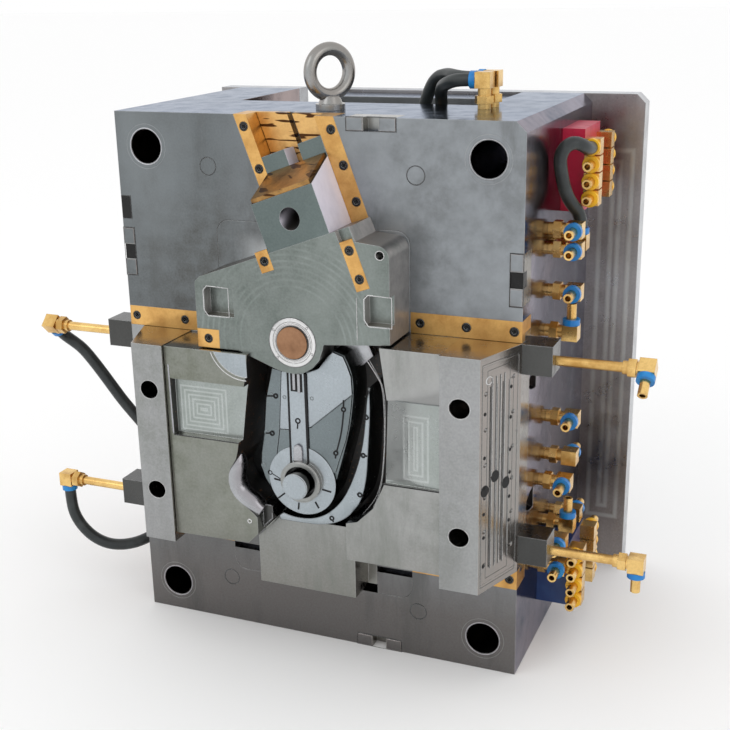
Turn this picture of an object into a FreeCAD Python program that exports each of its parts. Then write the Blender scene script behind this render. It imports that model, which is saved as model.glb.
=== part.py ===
# Moving half of an injection mould on a standard mould base, in millimetres.
# X runs across the plates, Y from the parting face back to the clamp plate, Z up.
# The origin is on the parting line, at the middle of the plates' bottom edge.
import FreeCAD, Part
import math
import os
import re

import Sketcher

from FreeCAD import Placement, Rotation, Vector

doc = FreeCAD.newDocument("mould_base")
sheet = doc.addObject("Spreadsheet::Sheet", "Sheet")

SIZES = {
    # plate stack
    "plate_width": 496, "plate_height": 646, "plate_thick": 146, "edge_chamfer": 11,
    "spacer_width": 90, "spacer_thick": 170, "clamp_thick": 28,
    "clamp_left": 279, "clamp_right": 314, "clamp_notch": 58, "clamp_notch_drop": 30,
    "knockout_bore": 40, "slip": 0.3,
    # guide bushes, return pins, pillars
    "bush_inset": 40, "bush_bore": 40, "bush_wall": 6, "bush_length": 100, "bush_flange": 60,
    "bush_flange_thick": 8, "return_pin": 20, "return_x": "=plate_width / 2 - spacer_width - 31", "return_z": 60,
    "pillar_size": 44, "pillar_x": 62, "pillar_z": 120,
    # ejector set
    "ejector_base_thick": 28, "retainer_thick": 22, "disc_thick": 5, "ejector_gap": 8,
    "return_head_long": 6, "pin_head_long": 5, "spring_size": 34, "spring_wire": 5, "ejector_pin": 6,
    # centre pocket and core
    "pocket_half": 120, "pocket_low": 75, "pocket_high": 525, "pocket_deep": 60,
    "pocket_round": 16, "core_height": 50, "hub_z": 228, "hub_size": 84, "hub_ring": 60,
    "hub_bore": 26, "tongue_width": 22,
    # side slides
    "slide_rise": 70, "slide_floor": 35, "lock_angle": 20, "lock_run": 25.5,
    "gib_width": 24, "gib_screw_edge": 9, "gib_thick": 35, "gib_lip": 12, "foot_reach": 8,
    "right_low": 112, "right_high": 434, "left_high": 411, "bar_low": 140,
    "right_bar": 45, "left_bar": 41, "right_inner": 104, "left_inner": 68,
    "left_bar_outer": 204, "left_face_high": 384,
    "pin_bore": 22, "pin_angle": 18, "right_pin_high": 353, "left_pin_high": 331,
    "pin_low": 203, "split_z": 252, "insert_drop": 4,
    # port blocks and pipes of the side slides
    "port_length": 34, "port_depth": 35, "port_height": 34, "pipe_size": 11,
    "pipe_reach": 98, "nut_size": 19, "nut_start": 6, "nut_long": 9, "elbow_size": 18, "collar_size": 20,
    "tail_size": 11, "tail_bore": 6.5, "tail_length": 18, "collar_length": 7,
    "right_port_high": 375, "right_port_low": 147, "left_port_high": 356, "left_port_low": 140,
    "port_axis": 14, "pipe_elbow": 26, "top_fitting_reach": 32,
    # top slide
    "top_tilt": 20, "top_rise": 60, "channel_low": 455, "channel_left": 150.5, "channel_right": 229.5,
    "top_gib_left": 135.5, "top_gib_right": 251, "carrier_low": 481, "carrier_high": 537,
    "tail_high": 582, "top_floor": 35, "plug_size": 37, "plug_ring": 57, "plug_z": 404,
    "top_half": "=pocket_half - 1.5", "top_low": 388, "wing_high": 519, "wing_low": 412,
    "wear_thick": 10, "strip_width": 16, "strip_thick": 8, "seat_deep": 9, "plug_x": 2, "plug_long": 40,
    "square_pocket": 33, "square_deep": 14, "wing_bore": 9, "tail_slot": 18, "foot_step": 18,
    "carrier_bore_up": 28, "wear_width": 36, "corner_width": 28, "corner_height": 22,
    "left_strip_low": 462, "left_strip_long": 24, "right_strip_low": 412, "right_strip_long": 56,
    "left_strip_across": 134, "right_strip_across": 236,
    # bottom slide
    "bottom_half": 63, "bottom_foot_half": 74.5, "bottom_low": 87, "bottom_high": 178,
    "bottom_rise": 40, "guide_top": 104, "bottom_deep": 40, "rail_slot": 8,
    # screws
    "screw_head": 10, "screw_head_long": 6, "screw_shank": 6, "screw_shank_long": 16,
    "hex_socket": 5, "plate_screw_head": 24, "plate_screw_head_long": 16,
    # side locks
    "lock_length": 58, "lock_from_middle": 47, "lock_height": 450, "lock_width": 15, "lock_deep": 30, "lock_slot": 18,
    # fittings
    "eye_x": 0, "eye_y": 66, "eye_ring_size": 66, "eye_wire": 15, "fitting_reach": 30,
    "nipple_size": 15, "hose_size": 15,
    # locking plates of the side slides
    "lock_plate": 8, "lock_plate_end": 10, "lock_groove": 3, "lock_groove_deep": 1.2, "lock_hole": 5,
    "lock_hole_edge": 8,
    # water manifolds on the right-hand side
    "manifold_thick": 26, "manifold_deep": 82, "manifold_reach": 9, "manifold_pitch": 19.6,
    "manifold_collar": 19.4, "red_front": 158, "red_low": 526, "red_high": 621,
    "blue_thick": 38, "blue_front": 96, "blue_low": 50, "blue_high": 131,
}


def fill_sheet():
    for row, (name, value) in enumerate(SIZES.items(), start=1):
        sheet.set("A%d" % row, name)
        sheet.set("B%d" % row, str(value))
        sheet.setAlias("B%d" % row, name)
    doc.recompute()


fill_sheet()

nodes = {}
words_kept = {"sin", "cos", "tan", "sqrt", "min", "max"}


def bound(text):
    """Point each size name in an expression at its sheet cell."""
    def named(match):
        word = match.group(0)
        return word if word in words_kept else "Sheet." + word
    return re.sub(r"[A-Za-z_]\w*", named, str(text))


def value(text):
    return float(sheet.evalExpression(bound(text)))


def bind(item, **sizes):
    for name, text in sizes.items():
        item.setExpression(name, bound(text))
    return item


def put(item, x=0, y=0, z=0):
    for axis, text in (("x", x), ("y", y), ("z", z)):
        item.setExpression("Placement.Base." + axis, bound(text))
    return item


def box(name, x, y, z, length, width, height):
    item = doc.addObject("Part::Box", name)
    bind(item, Length=length, Width=width, Height=height)
    return put(item, x, y, z)


def tilted(item):
    """Turn a piece drawn upright into the top slide's slanted direction."""
    item.Placement = Placement(Vector(), Rotation(Vector(0, 1, 0), -value("top_tilt")))
    item.setExpression("Placement.Rotation.Angle", bound("top_tilt"))
    item.Placement.Rotation.Axis = Vector(0, -1, 0)
    return item


def top_point(across, along):
    """A point in the top slide's slanted frame, as row expressions."""
    return ("(%s) * cos(top_tilt) - (%s) * sin(top_tilt)" % (across, along),
            "(%s) * sin(top_tilt) + (%s) * cos(top_tilt)" % (across, along))


def slanted_box(name, across, start, along, wide, deep, long):
    """A box in the top slide's slanted frame: across and along are measured in it."""
    item = doc.addObject("Part::Box", name)
    bind(item, Length=wide, Width=deep, Height=long)
    tilted(item)
    x, z = top_point(across, along)
    return put(item, x, start, z)


directions = {
    "+x": Rotation(Vector(0, 1, 0), 90), "-x": Rotation(Vector(0, 1, 0), -90),
    "+y": Rotation(Vector(1, 0, 0), -90), "-y": Rotation(Vector(1, 0, 0), 90),
    "+z": Rotation(), "-z": Rotation(Vector(1, 0, 0), 180),
}


def rod(name, x, y, z, size, length, way="+y"):
    """A cylinder of diameter size, from a point along one row axis."""
    item = doc.addObject("Part::Cylinder", name)
    item.Placement = Placement(Vector(), directions[way])
    bind(item, Radius="(%s) / 2" % size, Height=length)
    return put(item, x, y, z)


unit = {
    "+x": Vector(1, 0, 0), "-x": Vector(-1, 0, 0), "+y": Vector(0, 1, 0), "-y": Vector(0, -1, 0),
    "+z": Vector(0, 0, 1), "-z": Vector(0, 0, -1),
    "back_down": Vector(0, 1, -1).normalize(), "front_down": Vector(0, -4, -3).normalize(),
}


def stand(item, place, way, side):
    """Stand a piece made along its own Z with its arm along X: Z goes along way, X along side."""
    up, arm = unit[way], unit[side]
    item.Placement = Placement(Vector(), Rotation(arm, up.cross(arm), up, "ZXY"))
    return put(item, *place)


def hexagon(name, x, y, z, flats, length, way="+x"):
    item = doc.addObject("Part::Prism", name)
    item.Polygon = 6
    item.Placement = Placement(Vector(), directions[way])
    bind(item, Circumradius="(%s) / sqrt(3)" % flats, Height=length)
    return put(item, x, y, z)


def fuse(name, pieces):
    item = doc.addObject("Part::MultiFuse", name)
    item.Shapes = pieces
    item.Refine = True
    return item


def cut(name, base, tools):
    item = doc.addObject("Part::Cut", name)
    item.Base = base
    item.Tool = tools[0] if len(tools) == 1 else fuse(name + "_tools", tools)
    item.Refine = True
    return item


def group(name, pieces):
    """Separate solids kept together in one node."""
    item = doc.addObject("Part::Compound", name)
    item.Links = pieces
    return item


def node(name, item):
    item.Label = name
    nodes[name] = item
    return item


def closed_sketch(body, plane, points):
    """A sketch on one of the body's own planes, each corner set from the sheet."""
    sketch = body.newObject("Sketcher::SketchObject", body.Name + "_sketch")
    base = [face for face in body.Origin.OriginFeatures if face.Role == plane + "_Plane"][0]
    sketch.AttachmentSupport = [(base, "")]
    sketch.MapMode = "FlatFace"
    corners = [Vector(value(a), value(b), 0) for a, b in points]
    count = len(corners)
    for index in range(count):
        sketch.addGeometry(Part.LineSegment(corners[index], corners[(index + 1) % count]))
    for index in range(count):
        sketch.addConstraint(Sketcher.Constraint("Coincident", index, 2, (index + 1) % count, 1))
    for index, corner in enumerate(points):
        for kind, text in zip(("DistanceX", "DistanceY"), corner):
            place = sketch.addConstraint(Sketcher.Constraint(kind, -1, 1, index, 1, value(text)))
            sketch.setExpression("Constraints[%d]" % place, bound(text))
    return sketch


def outline(name, points, start, depth, plane="XZ"):
    """A padded body: XZ outlines run along +Y from start, XY along +Z, YZ along +X."""
    body = doc.addObject("PartDesign::Body", name)
    sketch = closed_sketch(body, plane, points)
    sign = "-" if plane == "XZ" else ""
    sketch.setExpression("AttachmentOffset.Base.z", bound("%s(%s)" % (sign, start)))
    pad = body.newObject("PartDesign::Pad", name + "_pad")
    pad.Profile = sketch
    pad.setExpression("Length", bound(depth))
    pad.Reversed = plane == "XZ"
    doc.recompute()
    return body


def round_corners(body, places, radius, way=Vector(0, 1, 0)):
    """Fillet the edges of a body that run along way through the places given."""
    solid = body.Tip
    names = []
    for index, edge in enumerate(solid.Shape.Edges, start=1):
        straight = edge.Curve.TypeId == "Part::GeomLine"
        if not straight or abs(edge.tangentAt(edge.FirstParameter).dot(way)) < 0.999:
            continue
        middle = edge.CenterOfMass
        for a, b in places:
            flat = Vector(value(a), middle.y, value(b)) if way.y else Vector(value(a), value(b), middle.z)
            if middle.distanceToPoint(flat) < 0.05:
                names.append("Edge%d" % index)
    fillet = body.newObject("PartDesign::Fillet", body.Name + "_round")
    fillet.Base = (solid, names)
    fillet.setExpression("Radius", bound(radius))
    body.Tip = fillet
    doc.recompute()
    return body


def turned(name, steps, x=0, y=0, z=0, way="+y", bore=None):
    """A turned piece: steps are (length so far, diameter) pairs along its own axis."""
    body = doc.addObject("PartDesign::Body", name)
    inner = "(%s) / 2" % bore if bore else "0"
    points = [(inner, steps[0][0])]
    points += [("(%s) / 2" % size, length) for length, size in steps]
    points.append((inner, steps[-1][0]))
    sketch = closed_sketch(body, "XZ", points)
    spin = body.newObject("PartDesign::Revolution", name + "_spin")
    spin.Profile = sketch
    spin.ReferenceAxis = (sketch, ["V_Axis"])
    spin.Angle = 360
    doc.recompute()
    body.Placement = Placement(Vector(), directions[way])
    return put(body, x, y, z)


# ---------------------------------------------------------------- plate stack
BUSH_PLACES = [("%s(plate_width / 2 - bush_inset)" % sign, height)
               for sign in ("-", "")
               for height in ("bush_inset", "plate_height - bush_inset")]
RETURN_PLACES = [("%sreturn_x" % sign, height)
                 for sign in ("-", "")
                 for height in ("return_z", "plate_height - return_z")]
PILLAR_PLACES = [("%spillar_x" % sign, height)
                 for sign in ("-", "")
                 for height in ("pillar_z", "plate_height - pillar_z")]
SLIDE_PIN_PLACES = {
    "right": [("plate_width / 2 - lock_run - right_bar / 2", "right_pin_high"),
              ("plate_width / 2 - lock_run - right_bar / 2", "pin_low")],
    "left": [("-left_bar_outer + left_bar / 2", "left_pin_high"),
             ("-left_bar_outer + left_bar / 2", "pin_low")],
}


EJECTOR_PLACES = [(-33, 335), (-41, 288), (-47, 246), (56, 328), (45, 274),
                  (80, 276), (74, 227), (38, 196)]
LOCK_POCKETS = [
    ("top", "lock_from_middle", "plate_height - lock_width", "lock_length", "lock_width + 1"),
    ("bottom", "lock_from_middle", "-1", "lock_length", "lock_width + 1"),
    ("right", "plate_width / 2 - lock_width", "lock_height", "lock_width + 1", "lock_length"),
    ("left", "-plate_width / 2 - 1", "lock_height", "lock_width + 1", "lock_length"),
]


def corner_chamfer(name, left, right, start, depth, low="0"):
    """A plate outline with its two upper corners chamfered."""
    return outline(name, [
        (left, low), (right, low), (right, "plate_height - edge_chamfer"),
        ("%s - edge_chamfer" % right, "plate_height"),
        (left, "plate_height")], start, depth)


def slanted_rod(name, x, z, size, sign, start="-slide_rise - 20", length="slide_rise + slide_floor + 60"):
    """A cylinder for an angle pin, leaning outwards as it runs back from the parting side."""
    item = doc.addObject("Part::Cylinder", name)
    bind(item, Radius="(%s) / 2" % size, Height=length)
    lean = value("pin_angle")
    turn = Rotation(Vector(0, 0, 1), sign * -lean) * directions["+y"]
    item.Placement = Placement(Vector(), turn)
    back = "(%s + slide_rise) * tan(pin_angle)" % start
    put(item, "%s + (%d) * (%s)" % (x, sign, back), start, z)
    return item


def top_pin(name, size):
    """A cylinder for the top slide's angle pin, in the slanted frame; it leans up as it runs back."""
    item = doc.addObject("Part::Cylinder", name)
    bind(item, Radius="(%s) / 2" % size, Height="top_rise + top_floor + 60")
    item.Placement = Placement(Vector(), Rotation(Vector(1, 0, 0), -90 + value("pin_angle")))
    return put(item, "(channel_left + channel_right) / 2", "-top_rise - 20",
               "carrier_low + carrier_bore_up - 20 * tan(pin_angle)")


def make_core_plate():
    blank = corner_chamfer("plate_blank", "-plate_width / 2", "plate_width / 2", "0", "plate_thick")
    half = "plate_width / 2"
    tools = []
    pocket = outline("pocket_tool", [
        ("-pocket_half", "pocket_low"), ("pocket_half", "pocket_low"),
        ("pocket_half", "pocket_high"), ("-pocket_half", "pocket_high")],
        "-1", "pocket_deep + 1")
    round_corners(pocket, [("-pocket_half", "pocket_low"), ("pocket_half", "pocket_low"),
                           ("pocket_half", "pocket_high"), ("-pocket_half", "pocket_high")],
                  "pocket_round")
    tools.append(pocket)
    tools.append(box("right_channel", "0", "-1", "right_low", half + " + 1",
                     "slide_floor + 1", "right_high - right_low"))
    tools.append(box("left_channel", "-(%s) - 1" % half, "-1", "right_low", half + " + 1",
                     "slide_floor + 1", "left_high - right_low"))
    tools.append(slanted_box("top_channel", "top_gib_left", "-1", "channel_low",
                             "top_gib_right - top_gib_left", "top_floor + 1", "plate_height"))
    for index, (x, z) in enumerate(BUSH_PLACES):
        tools.append(rod("bush_hole%d" % index, x, "-1", z, "bush_bore + 2 * bush_wall",
                         "plate_thick + 2"))
        tools.append(rod("bush_seat%d" % index, x, "plate_thick - bush_flange_thick", z,
                         "bush_flange", "bush_flange_thick + 1"))
    for index, (x, z) in enumerate(RETURN_PLACES):
        tools.append(rod("return_hole%d" % index, x, "-1", z, "return_pin + 2 * slip",
                         "plate_thick + 2"))
    for index, (x, z) in enumerate(EJECTOR_PLACES):
        tools.append(rod("pin_hole%d" % index, x, "0", z, "ejector_pin + 2 * slip + 1",
                         "plate_thick + 2"))
    for side, places in SLIDE_PIN_PLACES.items():
        sign = 1 if side == "right" else -1
        for index, (x, z) in enumerate(places):
            tools.append(slanted_rod("%s_relief%d" % (side, index), x, z, "pin_bore + 6", sign))
    tools.append(tilted(group("top_relief", [top_pin("top_relief_rod", "pin_bore + 8")])))
    for name, x, z, long, tall in LOCK_POCKETS:
        tools.append(box("lock_pocket_" + name, x, "-1", z, long, "lock_deep + 1", tall))
    return node("core_plate", cut("core_plate_cut", blank, tools))


def make_spacers():
    inner = "plate_width / 2 - spacer_width"
    left = box("left_spacer_blank", "-plate_width / 2", "plate_thick", "0",
               "spacer_width", "spacer_thick", "plate_height")
    right = corner_chamfer("right_spacer_blank", inner, "plate_width / 2",
                           "plate_thick", "spacer_thick")
    for side, blank in (("left", left), ("right", right)):
        tools = [rod("%s_pin_room%d" % (side, index), x, "plate_thick - 1", z,
                     "bush_bore + 4", "spacer_thick / 2")
                 for index, (x, z) in enumerate(BUSH_PLACES) if (x[0] == "-") == (side == "left")]
        node("spacer_block_" + side, cut(side + "_spacer_holes", blank, tools))


def make_clamp_plate():
    front = "plate_thick + spacer_thick"
    blank = corner_chamfer("clamp_blank", "-clamp_left", "clamp_right", front, "clamp_thick")
    tools = [box("clamp_notch_tool", "-(plate_width / 2 - spacer_width)", front + " - 1",
                 "plate_height - clamp_notch_drop", "clamp_notch", "clamp_thick + 2",
                 "clamp_notch_drop + 1"),
             rod("knockout_tool", "0", front + " - 1", "plate_height / 2", "knockout_bore",
                 "clamp_thick + 2")]
    tools += [rod("clamp_cbore%d" % index, x, front + " + clamp_thick - plate_screw_head_long", z,
                  "plate_screw_head + 2", "plate_screw_head_long + 1")
              for index, (x, z) in enumerate(CLAMP_SCREWS)]
    return node("clamp_plate", cut("clamp_plate_cut", blank, tools))


CLAMP_SCREWS = [("%s(plate_width / 2 - spacer_width / 2)" % sign, height)
                for sign in ("-", "")
                for height in ("plate_height * 0.15", "plate_height * 0.5", "plate_height * 0.85")]


def cap_screw(name, x, y, z, head, head_long, socket, way="+y"):
    """A socket head with its hexagon: y is the outer face of the head, way points inwards."""
    blank = rod(name + "_head", x, y, z, head, head_long, way)
    deep = "(%s) / 2" % head_long
    hexed = hexagon(name + "_hex", x, y, z, socket, deep, way)
    return cut(name, blank, [hexed])


def make_clamp_screws():
    screws = [cap_screw("clamp_screw%d" % index, x, "plate_thick + spacer_thick + clamp_thick", z,
                        "plate_screw_head", "plate_screw_head_long", "plate_screw_head * 0.55", "-y")
              for index, (x, z) in enumerate(CLAMP_SCREWS)]
    return node("clamp_screws", group("clamp_screws_group", screws))


def make_bushes():
    bushes = []
    for index, (x, z) in enumerate(BUSH_PLACES):
        outer = "bush_bore + 2 * bush_wall"
        bushes.append(turned("bush%d" % index, [
            ("0", outer), ("plate_thick - bush_flange_thick", outer),
            ("plate_thick - bush_flange_thick", "bush_flange"),
            ("plate_thick", "bush_flange")], x, "0", z, "+y", "bush_bore"))
    return node("guide_bushes", group("guide_bushes_group", bushes))


# --------------------------------------------------------------- ejector set
EJECTOR_BACK = "plate_thick + spacer_thick - disc_thick"
RETAINER_BACK = EJECTOR_BACK + " - ejector_base_thick"
RETAINER_FRONT = RETAINER_BACK + " - retainer_thick"
BOX_HALF = "(plate_width / 2 - spacer_width)"


def ejector_outline(name, start, depth):
    half = BOX_HALF + " - ejector_gap"
    notch = "-(%s) + clamp_notch + ejector_gap" % half
    return outline(name, [
        ("-(%s)" % half, "ejector_gap"), (half, "ejector_gap"),
        (half, "plate_height - ejector_gap / 2"), (notch, "plate_height - ejector_gap / 2"),
        (notch, "plate_height - clamp_notch_drop - ejector_gap"),
        ("-(%s)" % half, "plate_height - clamp_notch_drop - ejector_gap")], start, depth)


def make_ejector_set():
    base = ejector_outline("ejector_base_blank", RETAINER_BACK, "ejector_base_thick")
    retainer = ejector_outline("retainer_blank", RETAINER_FRONT, "retainer_thick")
    base_tools = [rod("base_pillar_hole%d" % index, x, RETAINER_BACK + " - 1", z,
                      "pillar_size + 4", "ejector_base_thick + 2")
                  for index, (x, z) in enumerate(PILLAR_PLACES)]
    node("ejector_base_plate", cut("ejector_base_cut", base, base_tools))
    tools = [rod("retainer_pillar_hole%d" % index, x, RETAINER_FRONT + " - 1", z,
                 "pillar_size + 4", "retainer_thick + 2")
             for index, (x, z) in enumerate(PILLAR_PLACES)]
    tools += [rod("retainer_return_hole%d" % index, x, RETAINER_FRONT + " - 1", z,
                  "return_pin", "retainer_thick + 2")
              for index, (x, z) in enumerate(RETURN_PLACES)]
    tools += [rod("retainer_return_head%d" % index, x, RETAINER_BACK + " - return_head_long", z,
                  "return_pin + 6", "return_head_long + 1")
              for index, (x, z) in enumerate(RETURN_PLACES)]
    tools += [rod("retainer_pin_hole%d" % index, x, RETAINER_FRONT + " - 1", z,
                  "ejector_pin", "retainer_thick + 2")
              for index, (x, z) in enumerate(EJECTOR_PLACES)]
    tools += [rod("retainer_pin_head%d" % index, x, RETAINER_BACK + " - pin_head_long", z,
                  "ejector_pin + 4", "pin_head_long + 1")
              for index, (x, z) in enumerate(EJECTOR_PLACES)]
    node("ejector_retainer_plate", cut("retainer_cut", retainer, tools))
    pins = [turned("return_pin%d" % index, [
        ("0", "return_pin"), (RETAINER_BACK + " - return_head_long", "return_pin"),
        (RETAINER_BACK + " - return_head_long", "return_pin + 6"),
        (RETAINER_BACK, "return_pin + 6")], x, "0", z)
        for index, (x, z) in enumerate(RETURN_PLACES)]
    node("return_pins", group("return_pins_group", pins))
    pins = [turned("ejector_pin%d" % index, [
        ("-core_height", "ejector_pin"), (RETAINER_BACK + " - pin_head_long", "ejector_pin"),
        (RETAINER_BACK + " - pin_head_long", "ejector_pin + 4"),
        (RETAINER_BACK, "ejector_pin + 4")], x, "0", z)
        for index, (x, z) in enumerate(EJECTOR_PLACES)]
    node("ejector_pins", group("ejector_pins_group", pins))
    springs = [turned("return_spring%d" % index, [
        ("plate_thick", "spring_size"), (RETAINER_FRONT, "spring_size")],
        x, "0", z, "+y", "spring_size - 2 * spring_wire")
        for index, (x, z) in enumerate(RETURN_PLACES)]
    node("return_springs", group("return_springs_group", springs))
    pillars = [rod("pillar%d" % index, x, "plate_thick", z, "pillar_size", "spacer_thick")
               for index, (x, z) in enumerate(PILLAR_PLACES)]
    node("support_pillars", group("support_pillars_group", pillars))
    discs = [rod("stop_disc%d" % index, x, EJECTOR_BACK, z, "return_pin * 1.5", "disc_thick")
             for index, (x, z) in enumerate(RETURN_PLACES)]
    node("stop_discs", group("stop_discs_group", discs))


# --------------------------------------------------------------- core inserts
def make_core():
    edge = "pocket_half - slip"
    slab = outline("core_slab", [
        ("-(%s)" % edge, "bottom_high + slip * 10"), (edge, "bottom_high + slip * 10"),
        (edge, "pocket_high - slip"), ("-(%s)" % edge, "pocket_high - slip")],
        "0", "pocket_deep")
    round_corners(slab, [(edge, "pocket_high - slip"), ("-(%s)" % edge, "pocket_high - slip")],
                  "pocket_round")
    island = outline("core_island", [
        ("-48", "hub_z"), ("-53", "hub_z + 45"), ("-38", "plug_z - 44"), ("30", "plug_z - 42"),
        ("45", "plug_z - 8"), ("64", "plug_z - 6"), ("75", "plug_z - 34"), ("74", "hub_z + 100"),
        ("62", "hub_z + 45"), ("44", "hub_z - 5"), ("26", "hub_z - 40"), ("-14", "hub_z - 42")],
        "-core_height", "core_height + 1")
    rib = outline("core_rib", [
        ("99", "hub_z + 145"), ("90", "hub_z + 55"), ("76", "hub_z + 8"), ("56", "hub_z - 24"),
        ("34", "hub_z - 40"), ("50", "hub_z - 10"), ("68", "hub_z + 25"), ("80", "hub_z + 75"),
        ("92", "hub_z + 145")], "-core_height", "core_height + 1")
    whole = fuse("core_whole", [slab, island, rib])
    channel = slanted_box("core_top_channel", "top_gib_left", "-1", "channel_low",
                         "top_gib_right - top_gib_left", "top_floor + 1", "plate_height")
    tools = [channel, rod("hub_seat", "0", "-core_height - 1", "hub_z", "hub_size",
                          "core_height + pocket_deep + 2")]
    tools.append(box("tongue_seat", "-tongue_width / 2 - slip", "-core_height - 1",
                     "hub_z + hub_size / 2 - 2", "tongue_width + 2 * slip", "core_height / 2 + 1",
                     "plug_z - 36 - hub_z - hub_size / 2"))
    tools += [rod("core_pin_hole%d" % index, x, "-core_height - 1", z,
                  "ejector_pin + 0.2", "core_height + pocket_deep + 2")
              for index, (x, z) in enumerate(EJECTOR_PLACES)]
    node("core_insert", cut("core_cut", whole, tools))
    hub = turned("hub_blank", [
        ("-core_height", "hub_size - 2 * slip"), ("pocket_deep", "hub_size - 2 * slip")],
        "0", "0", "hub_z", "+y", "hub_bore")
    node("core_hub", hub)
    node("core_tongue", box("tongue", "-tongue_width / 2", "-core_height",
                            "hub_z + hub_size / 2 + 1", "tongue_width", "core_height / 2",
                            "plug_z - 40 - hub_z - hub_size / 2"))


# ---------------------------------------------------------------- side slides
def gib_screw_set(name, places, y="0"):
    return [cap_screw("%s_screw%d" % (name, index), x, y, z, "screw_head",
                      "screw_head_long", "hex_socket")
            for index, (x, z) in enumerate(places)]


def screw_holes(name, places, y="0"):
    return [rod("%s_cbore%d" % (name, index), x, "(%s) - 1" % y, z, "screw_head + 1",
                "screw_head_long + 1") for index, (x, z) in enumerate(places)]


def make_side_gibs():
    """Bronze strips along the side channels, lipped over the slides' feet."""
    all_screws = []
    half = "plate_width / 2"
    outer, inner = half + " - gib_screw_edge", "pocket_half + gib_screw_edge + 2"
    middle = "(%s + %s) / 2" % (outer, inner)
    right_xs = [inner, middle, outer]
    left_xs = ["-(%s)" % x for x in (outer, middle, inner)]
    upper_xs = ["-(%s)" % outer, "-(%s) + 14" % middle, "-(%s)" % inner]
    spans = [
        ("gib_right_upper", "pocket_half", half, "right_high - gib_width", 1, right_xs),
        ("gib_right_lower", "pocket_half", half, "right_low", -1, right_xs),
        ("gib_left_upper", "-(%s)" % half, "-pocket_half", "left_high - gib_width", 1, upper_xs),
        ("gib_left_lower", "-(%s)" % half, "-pocket_half", "right_low", -1, left_xs),
    ]
    for name, start, stop, low, up, xs in spans:
        blank = box(name + "_blank", start, "0", low, "(%s) - (%s)" % (stop, start),
                    "gib_thick", "gib_width")
        lip_low = low if up > 0 else low + " + gib_width - foot_reach - slip"
        lip = box(name + "_lip", "(%s) - 1" % start, "gib_lip", lip_low + (" - 1" if up > 0 else ""),
                  "(%s) - (%s) + 2" % (stop, start), "gib_thick", "foot_reach + slip + 1")
        places = [(x, low + " + gib_width / 2") for x in xs]
        node(name, cut(name + "_cut", blank, [lip] + screw_holes(name, places)))
        all_screws += gib_screw_set(name, places)
    return all_screws


def slide_base(side, profile, low, high):
    """Bar, lock face and shouldered foot of a side slide, drawn in plan and padded up."""
    return outline(side + "_slide_plan", profile, low, "(%s) - (%s)" % (high, low), "XY")


def slide_foot(side, start, stop, low, high):
    return box(side + "_slide_foot", start, "gib_lip + slip", "(%s) - foot_reach" % low,
               "(%s) - (%s)" % (stop, start), "slide_floor - gib_lip - 2 * slip",
               "(%s) - (%s) + 2 * foot_reach" % (high, low))


def lock_plate(side, low, high):
    """Grooved wear plate let into a slide's inclined locking face; also returns its seat.

    Its plan is drawn along the face: depth is measured square to the face, along from the front.
    """
    sign, front = ("", "plate_width / 2 - lock_run") if side == "right" else ("-", "left_bar_outer")
    face = "slide_rise / cos(lock_angle)"

    def corner(along, depth):
        x = "%s(%s + (%s) * sin(lock_angle) - (%s) * cos(lock_angle))" % (sign, front, along, depth)
        y = "-slide_rise + (%s) * cos(lock_angle) + (%s) * sin(lock_angle)" % (along, depth)
        return x, y

    def strip(name, start, stop, over, deep, bottom, top):
        return outline(name, [corner(start, over), corner(stop, over), corner(stop, deep),
                              corner(start, deep)], bottom, "(%s) - (%s)" % (top, bottom), "XY")

    start, stop = "4", "(%s) - 5" % face
    bottom, top = "(%s) + lock_plate_end" % low, "(%s) - lock_plate_end" % high
    blank = strip(side + "_lock_blank", start + " + 0.1", stop + " - 0.1", "0", "lock_plate",
                  bottom + " + 0.1", top + " - 0.1")
    tools = []
    for index in range(4):
        along = "(%s) * %.2f" % (face, 0.24 + 0.15 * index)
        tools.append(strip("%s_lock_groove%d" % (side, index), along, along + " + lock_groove", "-1",
                           "lock_groove_deep", bottom + " + 18", top + " - 24"))
    for column, along in enumerate((start + " + lock_hole_edge", stop + " - lock_hole_edge")):
        for index in range(6):
            x, y = corner(along, "-1")
            z = "(%s) + (%.2f) * ((%s) - (%s))" % (bottom, 0.09 + 0.158 * index + 0.03 * column, top, bottom)
            hole = doc.addObject("Part::Cylinder", "%s_lock_hole%d_%d" % (side, column, index))
            bind(hole, Radius="lock_hole / 2", Height="lock_plate / 2 + 1")
            lean = value("lock_angle")
            turn = Rotation(Vector(0, 0, 1), lean) * directions["-x"]
            if side == "left":
                turn = Rotation(Vector(0, 0, 1), -lean) * directions["+x"]
            hole.Placement = Placement(Vector(), turn)
            tools.append(put(hole, x, y, z))
    node(side + "_lock_plate", cut(side + "_lock_cut", blank, tools))
    return strip(side + "_lock_seat", start, stop, "-1", "lock_plate", bottom, top)


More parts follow.
